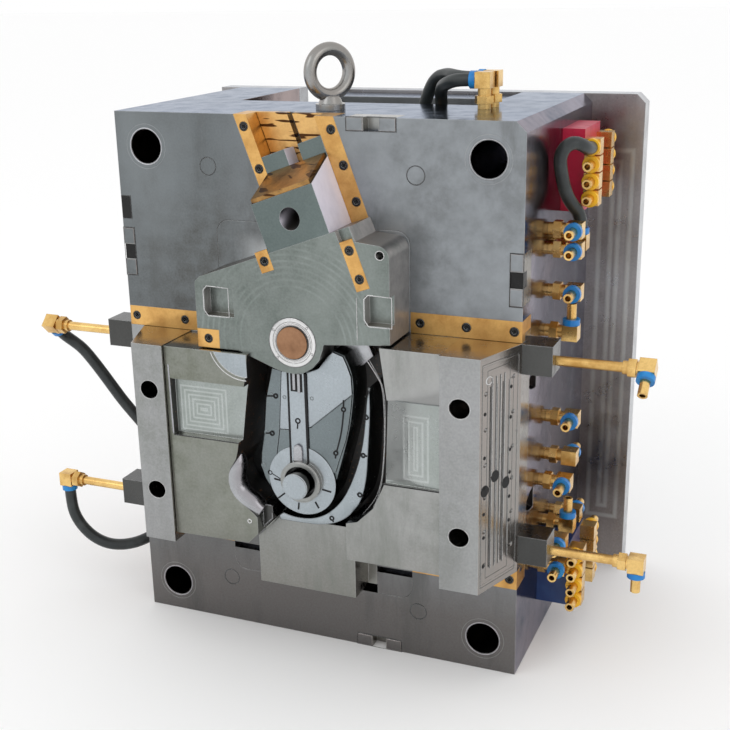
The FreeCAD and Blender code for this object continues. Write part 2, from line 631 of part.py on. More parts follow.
def make_right_slide():
    half = "plate_width / 2"
    low = "right_low + gib_width + slip"
    high = "right_high - gib_width - slip"
    bar_out = half + " - lock_run"
    bar_in = bar_out + " - right_bar"
    foot_in = "pocket_half + 7"
    floor = "slide_floor - slip"
    plan = slide_base("right", [
        (bar_in, "-slide_rise"), (bar_out, "-slide_rise"), (half, "0"), (half, floor),
        (foot_in, floor), (foot_in, "0"), (bar_in, "0")], low, high)
    foot = slide_foot("right", foot_in, half, low, high)
    whole = fuse("right_slide_whole", [plan, foot])
    tools = [slanted_rod("right_pin_bore%d" % index, x, z, "pin_bore", 1)
             for index, (x, z) in enumerate(SLIDE_PIN_PLACES["right"])]
    tools.append(lock_plate("right", low, high))
    node("right_slide_body", cut("right_slide_cut", whole, tools))
    front = "-slide_rise + insert_drop"
    deep = "slide_rise - insert_drop - slip"
    upper = outline("right_upper_insert", [
        ("right_inner + 8", "split_z"), (bar_in, "split_z"), (bar_in, high),
        ("right_inner + 4", high), ("right_inner + 12", "split_z + 100")],
        front, deep)
    node("right_insert_upper", upper)
    lower = outline("right_lower_insert", [
        ("bottom_half + 1", low), (bar_in, low), (bar_in, "split_z"),
        ("right_inner + 8", "split_z"), ("right_inner - 6", "split_z - 32"),
        ("right_inner - 26", "split_z - 52"), ("bottom_half + 1", "split_z - 56")],
        front, deep)
    node("right_insert_lower", lower)


def make_left_slide():
    half = "plate_width / 2"
    low = "right_low + gib_width + slip"
    high = "left_high - gib_width - slip"
    bar_out = "-left_bar_outer"
    bar_in = bar_out + " + left_bar"
    foot_in = "-pocket_half - 7"
    floor = "slide_floor - slip"
    plan = slide_base("left", [
        (bar_in, "-slide_rise"), (bar_out, "-slide_rise"), (bar_out + " - lock_run", "0"),
        ("-(%s)" % half, "0"), ("-(%s)" % half, floor), (foot_in, floor), (foot_in, "0"),
        (bar_in, "0")], low, high)
    foot = slide_foot("left", "-(%s)" % half, foot_in, low, high)
    whole = fuse("left_slide_whole", [plan, foot])
    tools = [slanted_rod("left_pin_bore%d" % index, x, z, "pin_bore", -1)
             for index, (x, z) in enumerate(SLIDE_PIN_PLACES["left"])]
    tools.append(lock_plate("left", low, high))
    node("left_slide_body", cut("left_slide_cut", whole, tools))
    front = "-slide_rise + insert_drop"
    deep = "slide_rise - insert_drop - slip"
    insert = outline("left_insert_plan", [
        (bar_in, low), ("-bottom_half - 1", low), ("-bottom_half - 1", "hub_z - 32"),
        ("-left_inner", "hub_z"), ("-left_inner", high), (bar_in, high)], front, deep)
    recess = box("left_recess", bar_in + " + 9", front + " - 1", "276",
                 "-left_inner - (%s) + 20" % bar_in, "9", "77")
    node("left_insert", cut("left_insert_cut", insert, [recess]))


# ------------------------------------------------------------------ top slide
def make_top_slide():
    across = "channel_right - channel_left - 2 * slip"
    left = "channel_left + slip"
    floor = "top_floor - wear_thick - slip"
    run = "top_rise * tan(lock_angle)"
    carrier = outline("carrier_plan", [
        ("-top_rise", "carrier_low"), ("-top_rise", "carrier_high"),
        ("0", "carrier_high + " + run), ("0", "tail_high"), (floor, "tail_high"),
        (floor, "carrier_low - foot_step"), ("slip", "carrier_low - foot_step"), ("slip", "carrier_low")],
        left, across, "YZ")
    middle = "(channel_left + channel_right) / 2"
    slot = box("carrier_tail_slot", middle + " - tail_slot / 2", "-1", "carrier_high + " + run + " + 4",
               "tail_slot", floor + " + 2", "tail_high")
    bore = top_pin("carrier_bore", "pin_bore + 2")
    node("top_carrier", tilted(cut("carrier_cut", carrier, [slot, bore])))
    lock = outline("top_lock_plan", [
        ("-top_rise", "carrier_high + slip"), ("-top_rise", "carrier_high + 5"),
        ("-5 * tan(lock_angle)", "carrier_high + 5 + " + run + " - 5 * tan(lock_angle) ^ 2"),
        ("0", "carrier_high + slip + " + run)], left + " + 2", across + " - 4", "YZ")
    node("top_lock_plate", tilted(lock))


def make_top_body():
    right_top = top_point("channel_right + 24", "carrier_low")
    body = outline("top_body_plan", [
        ("-top_half", "top_low"), ("-left_inner + 2", "top_low"), ("-20", "plug_z - 33"),
        ("-10", "plug_z - 35.5"), ("2", "plug_z - 36.5"), ("14", "plug_z - 34.5"),
        ("25", "plug_z - 28"), ("34", "plug_z - 18"), ("38.5", "plug_z - 5"), ("40", "plug_z + 1"),
        ("top_half", "wing_low"), ("top_half", "wing_high"), ("80", "wing_high + 4"),
        right_top, top_point("56", "carrier_low"), ("-top_half", "465")],
        "-top_rise", "top_rise - slip")
    round_corners(body, [("top_half", "wing_high")], "14")
    round_corners(body, [("-top_half", "465")], "5")
    tools = [
        rod("plug_seat", "plug_x", "-top_rise - 1", "plug_z", "plug_size + 2 * slip", "top_rise"),
        rod("ring_seat", "plug_x", "-top_rise - 1", "plug_z", "plug_ring + 0.2", "seat_deep - 2"),
        box("left_square", "-top_half + 11.5", "-top_rise - 1", "427", "square_pocket + 4",
            "square_deep + 1", "square_pocket"),
        box("right_square", "top_half - square_pocket + 4.5", "-top_rise - 1", "432", "square_pocket",
            "square_deep + 1", "square_pocket"),
        rod("wing_hole", "top_half - 10.5", "-top_rise - 1", "wing_high - 9", "wing_bore", "20"),
        box("corner_seat", "-top_half - 1", "-top_rise - 1", "top_low - 1", "corner_width + 1.2",
            "seat_deep", "corner_height + 1.2"),
        slanted_box("left_strip_seat", "left_strip_across", "-top_rise - 1", "left_strip_low",
                    "strip_width + 0.4", "seat_deep", "60"),
        slanted_box("right_strip_seat", "right_strip_across", "-top_rise - 1", "right_strip_low",
                    "strip_width + 0.4", "seat_deep", "100"),
    ]
    node("top_slide_body", cut("top_body_cut", body, tools))
    node("top_plug", rod("plug", "plug_x", "-top_rise - 2", "plug_z", "plug_size", "plug_long"))
    ring = turned("plug_ring_blank", [("0", "plug_ring"), ("seat_deep - 3", "plug_ring")],
                  "plug_x", "-top_rise", "plug_z", "+y", "plug_size + 2")
    node("top_plug_ring", ring)
    make_top_strips()


def make_top_strips():
    """Bronze strips and a corner piece let into the top slide's front face, with their screws."""
    corner_x, corner_z = "-top_half + corner_width / 2", "top_low + corner_height / 2"
    pieces, screws = [], []
    for side, low, long in (("left", "left_strip_low + 0.2", "left_strip_long"),
                            ("right", "right_strip_low + 0.2", "right_strip_long")):
        across = side + "_strip_across"
        blank = slanted_box(side + "_strip", across + " + 0.2", "-top_rise", low,
                            "strip_width", "strip_thick", long)
        steps = ("0.5",) if side == "left" else ("0.22", "0.8")
        places = [top_point("%s + 0.2 + strip_width / 2" % across, "%s + %s * (%s)" % (low, step, long))
                  for step in steps]
        pieces.append(cut(side + "_strip_cut", blank, screw_holes(side + "_strip", places, "-top_rise")))
        screws += gib_screw_set(side + "_strip", places, "-top_rise")
    corner = box("corner_piece", "-top_half", "-top_rise", "top_low", "corner_width",
                 "strip_thick", "corner_height")
    places = [(corner_x, corner_z)]
    pieces.append(cut("corner_piece_cut", corner, screw_holes("corner_piece", places, "-top_rise")))
    screws += gib_screw_set("corner_piece", places, "-top_rise")
    node("top_retainer_strips", group("top_strips_group", pieces))
    node("top_strip_screws", group("top_strip_screws_group", screws))


def make_top_gibs():
    cap = box("above_plate", "-plate_width", "-10", "plate_height", "2 * plate_width",
              "100", "200")
    low = "channel_low + slip"
    places = {
        "gib_top_left": [top_point("(top_gib_left + channel_left) / 2", along)
                         for along in ("channel_low + 116", "channel_low + 166")],
        "gib_top_right": [top_point("(channel_right + top_gib_right) / 2 + 3", along)
                          for along in ("channel_low + 46", "channel_low + 88", "channel_low + 129")],
    }
    screws = []
    gibs = [("gib_top_left", "top_gib_left + 0.1", "channel_left - top_gib_left - 0.1"),
            ("gib_top_right", "channel_right", "top_gib_right - channel_right - 0.1")]
    for name, start, wide in gibs:
        blank = slanted_box(name + "_blank", start, "0", low, wide, "top_floor", "250")
        node(name, cut(name + "_cut", blank, [cap] + screw_holes(name, places[name])))
        screws += gib_screw_set(name, places[name])
    floor = "top_floor - wear_thick"
    plates = []
    for index, start in enumerate(("channel_left + 0.5", "channel_right - wear_width - 0.5")):
        blank = slanted_box("top_wear%d" % index, start, floor, low, "wear_width", "wear_thick", "250")
        room = tilted(group("top_wear_room%d" % index, [top_pin("top_wear_rod%d" % index, "pin_bore + 8")]))
        plates.append(cut("top_wear_cut%d" % index, blank, [cap, room]))
    node("top_wear_plates", group("top_wear_group", plates))
    return screws


# --------------------------------------------------------------- bottom slide
def make_bottom_slide():
    body = outline("bottom_plan", [
        ("-bottom_half", "bottom_low"), ("bottom_half", "bottom_low"),
        ("bottom_half", "bottom_high"), ("-bottom_half + 30", "bottom_high"),
        ("-bottom_half", "bottom_high - 30")], "-bottom_rise", "bottom_rise + 1")
    foot = box("bottom_foot", "-bottom_foot_half", "0", "bottom_low", "2 * bottom_foot_half",
               "pocket_deep - slip", "bottom_high - bottom_low - 8")
    lug = box("bottom_lug", "-bottom_foot_half - foot_reach", "bottom_deep + slip",
              "bottom_low", "2 * (bottom_foot_half + foot_reach)",
              "pocket_deep - bottom_deep - 2 * slip", "bottom_high - bottom_low - 8")
    node("bottom_slide", fuse("bottom_whole", [body, foot, lug]))
    edge = "pocket_half - slip"
    inner = "bottom_foot_half + slip"
    for side, sign in (("left", "-"), ("right", "")):
        outer = "%s(%s)" % (sign, edge)
        blank = outline("bottom_rail_%s_plan" % side, [
            ("%s(%s)" % (sign, inner), "pocket_low + slip"), (outer, "pocket_low + slip"),
            (outer, "bottom_high"), ("%s(%s)" % (sign, inner), "bottom_high")],
            "0", "pocket_deep")
        round_corners(blank, [(outer, "pocket_low + slip")], "pocket_round")
        slot_low = inner + " - 1" if side == "right" else "-(%s) - 1" % edge
        slot = box("bottom_slot_" + side, slot_low, "-1", "guide_top",
                   "(%s) - (%s) + 2" % (edge, inner), "bottom_deep / 2 + 1", "rail_slot")
        lug_low = inner + " - 1" if side == "right" else "-(%s) - foot_reach - slip" % inner
        room = box("bottom_room_" + side, lug_low, "bottom_deep", "pocket_low",
                   "foot_reach + slip + 1", "pocket_deep", "plate_height / 2")
        node("bottom_guide_" + side, cut("bottom_rail_%s_cut" % side, blank, [slot, room]))


# ------------------------------------------------------- locks, lifting, ports
def make_side_locks():
    locks = []
    for name, x, z, long, tall in LOCK_POCKETS:
        real_x = {"left": "-plate_width / 2", "right": x}.get(name, x + " + slip")
        real_z = {"bottom": "0", "top": z}.get(name, z + " + slip")
        wide = "lock_length - 2 * slip" if name in ("top", "bottom") else "lock_width"
        high = "lock_width" if name in ("top", "bottom") else "lock_length - 2 * slip"
        blank = box("lock_blank_" + name, real_x, "0", real_z, wide, "lock_deep", high)
        if name in ("top", "bottom"):
            slot = box("lock_slot_" + name, x + " + (lock_length - lock_slot) / 2", "-1",
                       "(%s) - 1" % real_z, "lock_slot", "lock_deep / 2", "lock_width + 2")
        else:
            slot = box("lock_slot_" + name, "(%s) - 1" % real_x, "-1",
                       z + " + (lock_length - lock_slot) / 2", "lock_width + 2",
                       "lock_deep / 2", "lock_slot")
        locks.append(cut("lock_" + name, blank, [slot]))
    return node("side_locks", group("side_locks_group", locks))


def make_eye_bolt():
    foot = turned("eye_foot", [("0", "34"), ("7", "34"), ("7", "28"), ("15", "22")],
                  "eye_x", "eye_y", "plate_height", "+z")
    ring = doc.addObject("Part::Torus", "eye_ring")
    bind(ring, Radius1="eye_ring_size / 2 - eye_wire / 2", Radius2="eye_wire / 2")
    ring.Placement = Placement(Vector(), Rotation(Vector(0, 0, 1), 55) * directions["+y"])
    put(ring, "eye_x", "eye_y", "plate_height + 9 + eye_ring_size / 2")
    node("eye_bolt", fuse("eye_whole", [foot, ring]))


def elbow_fitting(name, place, way, arm, reach="fitting_reach", tail="tail_length",
                  nut=True, ring_size="collar_size"):
    """Nipple with its nut, elbow block, hose tail and coloured collar, from a face along way."""
    pieces = [
        rod(name + "_stem", "0", "0", "0", "nipple_size", reach, "+z"),
        box(name + "_elbow", "-elbow_size / 2", "-elbow_size / 2", "(%s) - elbow_size / 2" % reach,
            "elbow_size", "elbow_size", "elbow_size"),
        rod(name + "_tail", "0", "0", reach, "tail_size",
            "elbow_size / 2 + collar_length + (%s)" % tail, "+x")]
    if nut:
        pieces.append(hexagon(name + "_nut", "0", "0", "nut_start", "nut_size", "nut_long", "+z"))
    bore = rod(name + "_bore", "0", "0", reach, "tail_bore",
               "elbow_size / 2 + collar_length + (%s) + 1" % tail, "+x")
    brass = stand(cut(name + "_brass", fuse(name + "_solid", pieces), [bore]), place, way, arm)
    ring = cut(name + "_collar", rod(name + "_ring", "0", "0", "0", ring_size, "collar_length", "+z"),
               [rod(name + "_ring_bore", "0", "0", "-1", "tail_size + 0.2", "collar_length + 2", "+z")])
    along, out = unit[way], unit[arm]
    ring_place = ["(%s) + (%.5f) * (%s) + (%.5f) * elbow_size / 2" % (base, up, reach, over)
                  for base, up, over in zip(place, along, out)]
    return brass, stand(ring, ring_place, arm, way)


# place on the plate's right face, the way the tail points, and the tail's length
SIDE_FITTINGS = [
    ("134", "497", "+z", "0"), ("108", "515", "-y", "tail_length"), ("110", "492", "-y", "tail_length"),
    ("114", "442", "-y", "tail_length"), ("103", "397", "+z", "tail_length"),
    ("124", "284", "-y", "tail_length"), ("122", "236", "+y", "tail_length"),
    ("95", "213", "-y", "tail_length"), ("121", "148", "+z", "tail_length"),
    ("158", "146", "+y", "tail_length"), ("80", "142", "-y", "tail_length"), ("80", "110", "-y", "tail_length"),
]
TOP_FITTINGS = [("170", "107"), ("173", "130")]
BOX_FITTINGS = [("97", "584"), ("72", "584")]
LEFT_FITTINGS = [("70", "174", "+z"), ("110", "68", "-y")]


def make_side_fittings():
    """Water couplings on the core plate: right face, top, left face and inside the ejector box."""
    half = "plate_width / 2"
    made = [elbow_fitting("side_fitting%d" % index, (half, y, z), "+x", arm, tail=tail)
            for index, (y, z, arm, tail) in enumerate(SIDE_FITTINGS)]
    made += [elbow_fitting("top_fitting%d" % index, (x, y, "plate_height"), "+z", "-x",
                           "top_fitting_reach", "0")
             for index, (x, y) in enumerate(TOP_FITTINGS)]
    made += [elbow_fitting("box_fitting%d" % index, (x, "plate_thick", z), "+y", "+z", tail="0")
             for index, (x, z) in enumerate(BOX_FITTINGS)]
    made += [elbow_fitting("left_fitting%d" % index, ("-(%s)" % half, y, z), "-x", arm, tail="0")
             for index, (y, z, arm) in enumerate(LEFT_FITTINGS)]
    node("side_fittings", group("side_fittings_group", [brass for brass, ring in made]))
    node("side_fitting_collars", group("side_collars_group", [ring for brass, ring in made]))


# each port: height, the way its hose tail points, the tail's length
PORTS = {
    "right": [("right_port_low", "-z", "tail_length"), ("right_port_high", "front_down", "tail_length")],
    "left": [("left_port_low", "-z", "0"), ("left_port_high", "back_down", "0")],
}


def make_slide_ports():
    """Steel port blocks on the slides' outer ends, with their pipes and elbows."""
    half = "plate_width / 2"
    for side, levels in PORTS.items():
        sign, way = ("", "+x") if side == "right" else ("-", "-x")
        blocks, brass, collars = [], [], []
        for index, (low, arm, tail) in enumerate(levels):
            name = "%s_port%d" % (side, index)
            x = half if side == "right" else "-(%s) - port_length" % half
            blocks.append(box(name, x, "0", low, "port_length", "port_depth", "port_height"))
            middle = low + " + port_axis"
            pipe = rod(name + "_pipe", "%s(%s + port_length)" % (sign, half), "port_depth / 2",
                       middle, "pipe_size", "pipe_reach - pipe_elbow + 1", way)
            end = "%s(%s + port_length + pipe_reach - pipe_elbow)" % (sign, half)
            elbow, ring = elbow_fitting(name + "_fitting", (end, "port_depth / 2", middle), way,
                                        arm, "pipe_elbow", tail)
            brass.append(fuse(name + "_whole", [pipe, elbow]))
            collars.append(ring)
        node(side + "_port_blocks", group(side + "_ports_group", blocks))
        node(side + "_pipes", group(side + "_pipes_group", brass))
        node(side + "_pipe_collars", group(side + "_pipe_collars_group", collars))


def make_manifolds():
    """Two drilled blocks with a front and a rear column of small elbows each."""
    half = "plate_width / 2"
    node("red_manifold", box("red_block", half, "red_front", "red_low", "manifold_thick",
                             "manifold_deep", "red_high - red_low"))
    node("blue_manifold", box("blue_block", half, "blue_front", "blue_low", "blue_thick",
                              "manifold_deep", "blue_high - blue_low"))
    brass, collars = [], []
    for colour, face, front, low in (("red", "manifold_thick", "red_front", "red_low + 16.5"),
                                     ("blue", "blue_thick", "blue_front", "blue_low + 11")):
        for column, y, arm in (("front", front + " + elbow_size / 2", "-y"),
                               ("rear", front + " + manifold_deep - elbow_size / 2", "+y")):
            for index in range(4):
                z = "%s + %d * manifold_pitch" % (low, index)
                tail = "0" if (colour, column, index) == ("red", "front", 3) else "tail_length"
                one, ring = elbow_fitting("%s_%s%d" % (colour, column, index),
                                          ("%s + %s" % (half, face), y, z), "+x", arm,
                                          "manifold_reach", tail, False, "manifold_collar")
                brass.append(one)
                collars.append(ring)
    node("manifold_nozzles", group("manifold_nozzles_group", brass))
    node("manifold_collars", group("manifold_collars_group", collars))


# ----------------------------------------------------------------------- hoses
# Each route runs from one coupling's collar to the other's, through points chosen by hand.
HOSES = {
    "hose_manifold": [
        (283, 151, 601.3), (283, 137, 601.3), (281, 122, 607), (272, 112, 612), (263, 106, 607),
        (258, 105, 595), (259, 110, 579), (261, 117, 561), (266, 125, 544), (278, 134, 527),
        (278, 134, 513)],
    "hose_top_front": [
        (154, 107, 678), (141, 107, 678), (128, 113, 675), (118, 125, 671), (109, 140, 667),
        (101, 159, 657), (98, 172, 638), (97, 176, 619), (97, 176, 600)],
    "hose_top_back": [
        (157, 130, 678), (142, 130, 678), (126, 139, 679), (110, 157, 680), (91, 170, 675),
        (79, 175, 655), (73, 176, 635), (72, 176, 617), (72, 176, 600)],
    "hose_left_upper": [
        (-380, 28.85, 358.65), (-380, 37.2, 350.3), (-374, 45, 341), (-362, 50, 330), (-350, 53, 314),
        (-338, 56, 296), (-325, 58, 277), (-311, 60, 257), (-296, 63, 238), (-284, 67, 221),
        (-278, 70, 206), (-278, 70, 190)],
    "hose_left_lower": [
        (-380, 17.5, 138), (-380, 17.5, 120), (-377, 17.5, 101), (-366, 18, 83), (-349, 21, 67),
        (-329, 29, 57), (-306, 42, 56), (-287, 59, 62), (-278, 77, 68), (-278, 94, 68)],
}


def hose(name, points):
    """A plain round hose: straight runs joined by tangent arcs as wide as the runs allow."""
    places = [Vector(*point) for point in points]
    edges, radii, start = [], [], places[0]
    for before, corner, after in zip(places, places[1:], places[2:]):
        back, ahead = before - corner, after - corner
        turn = math.pi - back.getAngle(ahead)
        reach = 0.45 * min(back.Length, ahead.Length)
        radius = reach / math.tan(turn / 2)
        back.normalize()
        ahead.normalize()
        inward = (back + ahead).normalize()
        first, last = corner + back * reach, corner + ahead * reach
        middle = corner + inward * (radius / math.cos(turn / 2) - radius)
        edges += [Part.LineSegment(start, first).toShape(), Part.Arc(first, middle, last).toShape()]
        radii.append(radius)
        start = last
    edges.append(Part.LineSegment(start, places[-1]).toShape())
    path = Part.Wire(edges)
    size = value("hose_size")
    rim = Part.Wire(Part.makeCircle(size / 2, places[0], places[1] - places[0]))
    item = doc.addObject("Part::Feature", name + "_tube")
    item.Shape = path.makePipeShell([rim], True, False)
    wanted = math.pi * size ** 2 / 4 * path.Length
    if abs(item.Shape.Volume / wanted - 1) > 0.01:
        raise ValueError("hose %s has the wrong volume" % name)
    print("%s: %.0f mm long, radii" % (name, path.Length), " ".join("%.0f" % r for r in radii))
    return node(name, item)


def make_hoses():
    for name, points in HOSES.items():
        hose(name, points)


# ------------------------------------------------------------------ hand over
def check_document():
    doc.recompute()
    for item in doc.Objects:
        if "Invalid" in item.State or "Error" in item.State:
            raise ValueError("failed feature " + item.Name)
    for name, item in nodes.items():
        if item.Shape.isNull() or not item.Shape.isValid() or not item.Shape.Solids:
            raise ValueError("bad shape in node " + name)


def export_parts():
    os.makedirs("parts", exist_ok=True)
    for name, item in nodes.items():
        item.Shape.exportStep("parts/%s.step" % name)
        print("%-26s %3d solids %12.0f mm3" % (name, len(item.Shape.Solids), item.Shape.Volume))


make_core_plate()
make_spacers()
make_clamp_plate()
make_clamp_screws()
make_bushes()
make_ejector_set()
make_core()
gib_screws = make_side_gibs()
make_right_slide()
make_left_slide()
make_top_slide()
make_top_body()
gib_screws += make_top_gibs()
node("gib_screws", group("gib_screws_group", gib_screws))
make_bottom_slide()
make_side_locks()
make_eye_bolt()
make_side_fittings()
make_slide_ports()
make_manifolds()
make_hoses()
check_document()
export_parts()
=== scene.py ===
import math
import bpy
from mathutils import Euler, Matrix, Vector


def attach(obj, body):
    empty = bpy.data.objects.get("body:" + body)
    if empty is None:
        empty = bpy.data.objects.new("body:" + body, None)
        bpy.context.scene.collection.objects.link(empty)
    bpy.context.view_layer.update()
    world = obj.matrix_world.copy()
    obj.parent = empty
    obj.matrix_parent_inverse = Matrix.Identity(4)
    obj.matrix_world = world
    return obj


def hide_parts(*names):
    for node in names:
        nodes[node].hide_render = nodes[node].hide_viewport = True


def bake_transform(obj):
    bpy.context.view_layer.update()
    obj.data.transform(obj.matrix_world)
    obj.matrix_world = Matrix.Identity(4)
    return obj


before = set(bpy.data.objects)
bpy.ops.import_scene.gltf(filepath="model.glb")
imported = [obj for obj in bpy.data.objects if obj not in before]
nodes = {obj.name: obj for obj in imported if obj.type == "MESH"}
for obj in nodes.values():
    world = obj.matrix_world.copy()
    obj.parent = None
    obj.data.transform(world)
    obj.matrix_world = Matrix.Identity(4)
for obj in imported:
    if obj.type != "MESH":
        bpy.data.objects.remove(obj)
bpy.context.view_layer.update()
print("frame loaded with", len(nodes), "nodes")


# helpers for shader trees
def newMaterial(name):
    material = bpy.data.materials.new(name)
    material.use_nodes = True
    tree = material.node_tree
    shader = tree.nodes["Principled BSDF"]
    return material, tree, shader


def add(tree, kind, inputs=None, **settings):
    item = tree.nodes.new("ShaderNode" + kind)
    for key, value in settings.items():
        setattr(item, key, value)
    for key, value in (inputs or {}).items():
        if isinstance(value, bpy.types.NodeSocket):
            tree.links.new(value, item.inputs[key])
        else:
            item.inputs[key].default_value = value
    return item


def objectPlace(tree, scale=(1, 1, 1), shift=(0, 0, 0)):
    coordinates = add(tree, "TexCoord").outputs["Object"]
    return add(tree, "Mapping", {"Vector": coordinates, "Scale": scale, "Location": shift}).outputs["Vector"]


def noise(tree, scale, stretch=(1, 1, 1), detail=3.0, rough=0.55, shift=(0, 0, 0)):
    place = objectPlace(tree, stretch, shift)
    return add(tree, "TexNoise", {"Vector": place, "Scale": scale, "Detail": detail,
                                  "Roughness": rough}).outputs["Fac"]


def spread(tree, value, low, high, toLow=0.0, toHigh=1.0):
    return add(tree, "MapRange", {"Value": value, "From Min": low, "From Max": high,
                                  "To Min": toLow, "To Max": toHigh}).outputs["Result"]


def blendColour(tree, factor, first, second):
    return add(tree, "Mix", {0: factor, 6: first, 7: second}, data_type="RGBA").outputs[2]


def mixIn(tree, base, colour, value, low, high, share):
    # lays a colour over the base where the value goes from low to high, up to the given share
    return blendColour(tree, spread(tree, value, low, high, 0.0, share), base, colour)


def calculate(tree, operation, first, second=0.0):
    return add(tree, "Math", {0: first, 1: second}, operation=operation).outputs[0]


def facing(tree, axis, sharp=12.0):
    # 1 where the surface looks along the axis, 0 elsewhere
    normal = add(tree, "NewGeometry").outputs["True Normal"]
    toward = add(tree, "VectorMath", {0: normal, 1: axis}, operation="DOT_PRODUCT").outputs["Value"]
    return calculate(tree, "POWER", calculate(tree, "MAXIMUM", toward, 0.0), sharp)


softEdges = {"radius": 0.0007, "distance": 0.0004}


def softEdge(tree, shader, height, strength):
    edge = add(tree, "Bevel", {"Radius": softEdges["radius"]}, samples=3).outputs["Normal"]
    bump = add(tree, "Bump", {"Height": height, "Strength": strength, "Distance": softEdges["distance"],
                              "Normal": edge})
    tree.links.new(bump.outputs["Normal"], shader.inputs["Normal"])


def ripple(tree, distance, pitch):
    return calculate(tree, "SINE", calculate(tree, "MULTIPLY", distance, 2 * math.pi / pitch))


def beyond(tree, place, middle, half):
    # how far a place lies outside a band about its middle, below 0 inside it
    away = calculate(tree, "ABSOLUTE", calculate(tree, "SUBTRACT", place, middle))
    return calculate(tree, "SUBTRACT", away, half)


def nestedMarks(tree, middle, half, pitch):
    # cutter marks left as rectangles inside one another; returns the stripes, already masked
    place = add(tree, "SeparateXYZ", {"Vector": objectPlace(tree)})
    across = beyond(tree, place.outputs["X"], middle[0], half[0])
    upward = beyond(tree, place.outputs["Z"], middle[1], half[1])
    depth = calculate(tree, "MAXIMUM", across, upward)
    stripes = spread(tree, ripple(tree, depth, pitch), -0.2, 1)
    return calculate(tree, "MULTIPLY", stripes, spread(tree, depth, 0, -0.001))


def roundMarks(tree, middle, near, far, pitch):
    # cutter marks in arcs about a point
    place = objectPlace(tree, shift=(-middle[0], 0, -middle[1]))
    flat = add(tree, "VectorMath", {0: place, 1: (1, 0, 1)}, operation="MULTIPLY").outputs["Vector"]
    reach = add(tree, "VectorMath", {0: flat}, operation="LENGTH").outputs["Value"]
    inside = calculate(tree, "MULTIPLY", spread(tree, reach, near, near + 0.002),
                       spread(tree, reach, far, far - 0.01))
    return calculate(tree, "MULTIPLY", spread(tree, ripple(tree, reach, pitch), 0, 1), inside)


